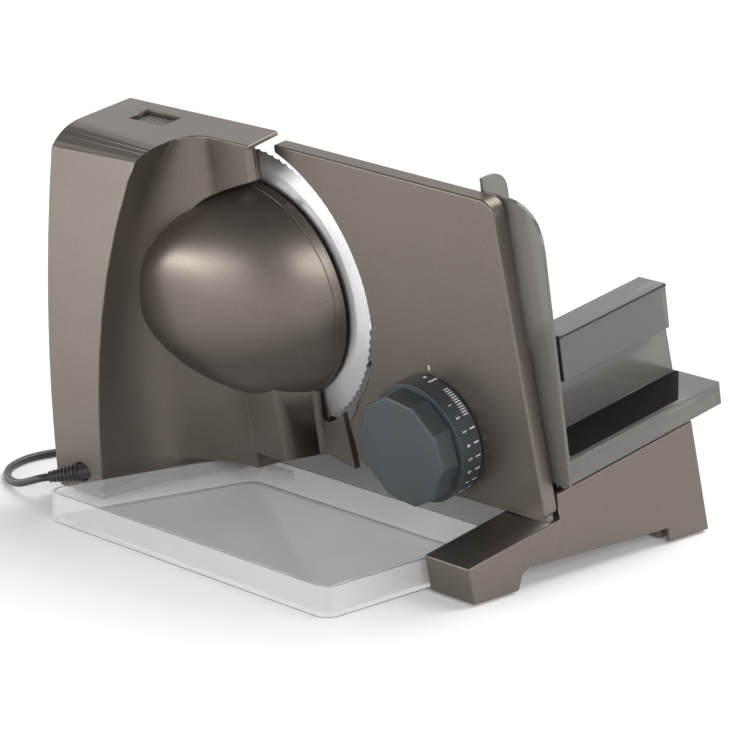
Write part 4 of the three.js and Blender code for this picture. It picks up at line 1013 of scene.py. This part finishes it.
@dataclass
class SliceTray:
    """Clear tray in front of the blade, with a grey sheet on its floor that paints the shade and
    reflection it gets.
    """

    front: float = -144.9
    rear: float = 4
    right: float = 125
    front_left: float = -138.5
    rear_left: float = -105.5
    height: float = 20
    corner: float = 10
    edge: float = 0.4
    edge_steps: int = 3
    floor: float = 2.4
    skin: float = 0.2
    margin: float = 3.2
    line_radius: float = 0.28
    arc_steps: int = 8

    def outline(self, inset: float, height: float) -> list[Vector]:
        """Gives the tray's outline with round corners.

        Args:
            inset: How far inside the tray's sides it runs.
            height: Its height.

        Returns:
            The points, anticlockwise from above.
        """
        front, rear, right = self.front + inset, self.rear - inset, self.right - inset
        ends = ((self.front_left + inset, front), (right, front),
                (right, rear), (self.rear_left + inset, rear))
        corners = [Vector((x, y, height)) for x, y in ends]
        radius = self.corner - inset
        points = []
        for i, corner in enumerate(corners):
            back = (corners[i - 1] - corner).normalized()
            ahead = (corners[(i + 1) % len(corners)] - corner).normalized()
            half = back.angle(ahead) / 2
            centre = corner + (back + ahead).normalized() * radius / math.sin(half)
            start = corner + back * radius / math.tan(half) - centre
            turn = math.pi - 2 * half
            points += [centre + Matrix.Rotation(turn * k / self.arc_steps, 3, "Z") @ start
                       for k in range(self.arc_steps + 1)]
        return points

    def build(self) -> None:
        """Makes the tray, a grey sheet on its floor that paints shade and reflection, and dark lines
        along its foot and rim that paint shade.
        """
        Rounded("slice_tray", "tray_moulding", Body.TRAY, CLEAR, self.edge, self.edge_steps).build()
        # Painted shade: a grey sheet lies on the tray's floor, for the machine's shade and dark
        # reflection there.
        flat = [(p.x, p.y) for p in self.outline(self.margin, 0)]
        grey_sheet = slab(flat, self.floor, self.floor + self.skin, Matrix.Identity(4))
        add_trim("tray_painted_shade", grey_sheet, TRAY_SHADE, Body.TRAY)
        # Painted shade: dark lines along the foot, for the contact shadow, and along the rim, for the
        # dark edge of the clear wall.
        radius = self.line_radius
        lines = [EdgeLine(f"tray_{name}", radius).mesh(self.outline(radius, height), RIM_SHADE)
                 for name, height in (("foot_shadow_line", radius), ("rim_shade_line", self.height - radius))]
        add_trim("tray_shade_lines", joined(lines), RIM_SHADE, Body.TRAY)


@dataclass
class MainsLead:
    """Black mains lead: strain relief, free run, tied coil and plug."""

    diameter: float = 5.2
    round_steps: int = 4
    boot_edge: float = 0.3
    tie_edge: float = 0.2
    plug_edge: float = 0.6
    gland_at: Vector = field(default_factory=lambda: Vector((-154, -102.9, 19)))
    gland_direction: Vector = field(default_factory=lambda: Vector((-0.76, -0.62, -0.2)).normalized())
    gland_length: float = 22
    ribs: int = 7
    rib_pitch: float = 2.6
    rib_radii: Span = (5.3, 3.9)
    rib_thick: float = 1.0
    seat: float = 0.3
    route: Sequence[Triple] = (
        (-196, -122, 3.2), (-218, -114, 0.5), (-235, -98, 0.1), (-242.5, -76, 0.1),
        (-239, -52, 0.1), (-226, -28, 0.1), (-213, -4, 0.1), (-206, 16, 0.2))
    coil_at: Span = (-240, 44)
    coil_radius: float = 29
    layers: int = 2
    turns: int = 4
    climb_turns: float = 0.5
    pitch: float = 5.9
    tie_thick: float = 0.8
    tail: float = 28
    steps_per_turn: int = 48
    steps_per_span: int = 8

    def coil_place(self, turn: float) -> Vector:
        """Gives a point of the coil's centreline, which winds inwards below and outwards above.

        Args:
            turn: Turns from the coil's start.

        Returns:
            The point, in millimetres.
        """
        inward = min(turn, self.turns - turn)
        outer_radius = self.coil_radius + self.pitch * self.turns / self.layers / 2
        radius = outer_radius - self.pitch * inward
        past_middle = (turn - self.turns / 2) / self.climb_turns
        climb = min(1.0, max(0.0, past_middle + 0.5))
        angle = turn * math.tau
        x, y = self.coil_at
        height = self.tie_thick + self.seat + self.diameter / 2 + climb * self.pitch
        return Vector((x + radius * math.cos(angle), y + radius * math.sin(angle), height))

    def centreline(self) -> list[Vector]:
        """Gives the lead's centreline from the strain relief to the plug.

        Returns:
            The points, in metres.
        """
        start = self.gland_at + self.gland_direction * (self.gland_length + self.seat)
        ahead = Vector((0, self.diameter, 0))
        coil_start = self.coil_place(0) - ahead
        end = coil_start - Vector((0, self.seat, 0))
        free = [start, start + self.gland_direction * self.diameter]
        free += [Vector((x, y, z + self.diameter / 2)) for x, y, z in self.route]
        free += [end - ahead, end]
        steps = self.turns * self.steps_per_turn
        coil = [self.coil_place(i / self.steps_per_turn) for i in range(steps + 1)]
        tail = coil[-1] + Vector((0, self.tail, 0))
        line = smooth_line(free, self.steps_per_span) + [coil_start] + coil + [tail]
        return [p * MM for p in line]

    def flex(self, line: Sequence[Vector]) -> Piece:
        """Makes the lead itself.

        Args:
            line: Its centreline, in metres.

        Returns:
            One curve with the flex's thickness.
        """
        curve = bpy.data.curves.new("mains_lead", "CURVE")
        curve.dimensions = "3D"
        spline = curve.splines.new("POLY")
        spline.points.add(len(line) - 1)
        for point, place in zip(spline.points, line):
            point.co = (*place, 1)
        curve.bevel_depth = self.diameter / 2 * MM
        curve.bevel_resolution = self.round_steps
        curve.use_fill_caps = True
        curve.materials.append(CORD_SKIN.material())
        return put("mains_lead", curve)

    def build(self) -> None:
        """Makes the lead and the pieces on it."""
        line = self.centreline()
        lead = settle(self.flex(line), Body.FRAME, CORD_SKIN, "cord", "cord_coil")
        ends = (("strain_relief", "lead_boot", self.boot_edge), ("coil_tie", "lead_tie", self.tie_edge),
                ("plug", "lead_plug", self.plug_edge))
        pieces = [Rounded(node, name, Body.FRAME, CORD_SKIN, edge).build() for node, name, edge in ends]
        turn = self.gland_direction.to_track_quat("Z", "Y").to_matrix().to_4x4()
        start = self.gland_at + self.gland_direction * self.rib_pitch
        place = Matrix.Scale(MM, 4) @ Matrix.Translation(start) @ turn
        row = RibRow("boot_ribs", self.ribs, self.rib_pitch, *self.rib_radii, self.rib_thick)
        pieces.append(add_trim("boot_ribs", row.mesh(CORD_SKIN, place), CORD_SKIN, Body.FRAME))
        length = sum((b - a).length for a, b in zip(line, line[1:]))
        LOG.info("mains lead is %.3f m long", length)
        tuple(line[0])


def smooth_line(points: Sequence[Vector], steps: int) -> list[Vector]:
    """Runs a centripetal curve through points.

    Args:
        points: The points that it passes.
        steps: Steps from point to point.

    Returns:
        Points of the curve, first and last included.
    """
    ends = [2 * points[0] - points[1], *points, 2 * points[-1] - points[-2]]
    line = []
    for a, b, c, d in zip(ends, ends[1:], ends[2:], ends[3:]):
        before, span, after = (math.sqrt((q - p).length) for p, q in ((a, b), (b, c), (c, d)))
        leave = span * ((b - a) / before - (c - a) / (before + span) + (c - b) / span)
        arrive = span * ((c - b) / span - (d - b) / (span + after) + (d - c) / after)
        for i in range(steps):
            t = i / steps
            # Cubic through b and c with these directions at its ends.
            line.append((2 * t ** 3 - 3 * t ** 2 + 1) * b + (t ** 3 - 2 * t ** 2 + t) * leave
                        + (3 * t ** 2 - 2 * t ** 3) * c + (t ** 3 - t ** 2) * arrive)
    return line + [points[-1]]


def outward(azimuth: float, elevation: float) -> Vector:
    """Gives the direction to a place, by degrees from the front to the right and upwards."""
    turn, rise = math.radians(azimuth), math.radians(elevation)
    return Vector((math.sin(turn) * math.cos(rise), -math.cos(turn) * math.cos(rise), math.sin(rise)))


def facing(azimuth: float, elevation: float) -> Euler:
    """Gives the turn of a camera or light that looks at the object from a direction."""
    return (-outward(azimuth, elevation)).to_track_quat("-Z", "Y").to_euler()


@dataclass(frozen=True)
class SoftBox:
    """A large soft light that faces the object. Distance, size and aim are metres, and power is watts."""

    name: str
    azimuth: float
    elevation: float
    distance: float
    size: Span
    power: float
    aim: Triple = (0, 0, 0.11)

    def build(self) -> None:
        """Makes the light."""
        data = bpy.data.lights.new(self.name, "AREA")
        data.shape = "RECTANGLE"
        data.size, data.size_y = self.size
        data.energy = self.power
        light = put(self.name, data)
        light.location = Vector(self.aim) + outward(self.azimuth, self.elevation) * self.distance
        light.rotation_euler = facing(self.azimuth, self.elevation)


@dataclass(frozen=True)
class LightTable(Finish):
    """White table top with a faint mottle, lit from below."""

    colour: Colour = (0.9, 0.9, 0.9)
    darkening: float = 0.99
    patches_per_metre: float = 30
    roughness: float = 0.7
    specular: float = 0.1
    glow: float = 0.1

    def sockets(self, sheet: NodeSheet) -> Inputs:
        """Draws a matt white skin that glows evenly.

        Args:
            sheet: Where the nodes go.

        Returns:
            The shader's inputs, by name.
        """
        patches = sheet.noise(self.patches_per_metre)
        skin = sheet.tint(patches, shade(self.colour, self.darkening), self.colour)
        return {"Base Color": skin, "Roughness": self.roughness,
                "Specular IOR Level": self.specular, "Emission Strength": self.glow}


@dataclass
class Studio:
    """White table, soft light and the camera. Distances are metres, lens and sensor millimetres."""

    camera_at: Triple = (1.5890, -1.4972, 0.7183)
    azimuth: float = 46.57
    elevation: float = 15.8
    lens: float = 175.8
    sensor: float = 36.0
    clip_end: float = 100.0
    floor_size: float = 30.0
    horizon: float = 0.7
    zenith: float = 0.12
    sky_span: Span = (0.0, 0.8)
    sun_azimuth: float = 170
    sun_elevation: float = 52
    sun_spread: float = 50
    sun_power: float = 2.6
    boxes: Sequence[SoftBox] = (
        SoftBox("key_box", azimuth=-30, elevation=3, distance=2.2, size=(1.2, 0.44), power=16),
        SoftBox("front_box", azimuth=-4, elevation=9, distance=2.2, size=(0.9, 0.5), power=7),
        SoftBox("strip_box", azimuth=-76, elevation=14, distance=2.0, size=(1.3, 0.66), power=8),
        SoftBox("side_box", azimuth=66, elevation=22, distance=2.6, size=(1.3, 0.9), power=30),
        SoftBox("edge_box", azimuth=122, elevation=5, distance=2.2, size=(1.2, 0.5), power=7),
        SoftBox("roof_box", azimuth=-127, elevation=31, distance=2.2, size=(1.4, 0.9), power=3.5),
    )

    def build(self) -> None:
        """Makes the camera, the floor, the sky and the lights."""
        data = bpy.data.cameras.new("camera")
        data.lens = self.lens
        data.sensor_width = self.sensor
        data.clip_end = self.clip_end
        camera = put("camera", data)
        camera.location = self.camera_at
        camera.rotation_euler = facing(self.azimuth, self.elevation)
        bpy.context.scene.camera = camera
        bpy.context.scene.view_settings.view_transform = "Standard"
        self.floor()
        self.light()

    def floor(self) -> None:
        """Makes the floor."""
        half = self.floor_size / 2
        mesh = bpy.data.meshes.new("floor")
        corners = [(-half, -half, 0), (half, -half, 0), (half, half, 0), (-half, half, 0)]
        mesh.from_pydata(corners, [], [(0, 1, 2, 3)])
        clad(mesh, LightTable("light_table", None))
        put("floor", mesh)

    def light(self) -> None:
        """Makes the sky, the overhead light and the light boxes."""
        world = bpy.data.worlds.new("sky")
        world.use_nodes = True
        sheet = NodeSheet(world.node_tree)
        up = sheet.add("ShaderNodeSeparateXYZ", {"Vector": sheet.place("Generated")}).outputs["Z"]
        level = sheet.spread(up, self.horizon, self.zenith, *self.sky_span)
        sheet.fill(world.node_tree.nodes["Background"], {"Color": level})
        bpy.context.scene.world = world
        data = bpy.data.lights.new("overhead", "SUN")
        data.energy = self.sun_power
        data.angle = math.radians(self.sun_spread)
        put("overhead", data).rotation_euler = facing(self.sun_azimuth, self.sun_elevation)
        for box in self.boxes:
            box.build()


def main() -> None:
    """Builds the studio and the machine's sub-assemblies in order."""
    logging.basicConfig(level=logging.INFO, format="%(name)s: %(message)s")
    assemblies = (Studio(), MainsLead(), Housing(), BladeDrive(), StopPlate(), ThicknessDial(),
                  PowerSwitch(), FoodCarriage(), SliceTray())
    for assembly in assemblies:
        assembly.build()


if __name__ == "__main__":
    main()
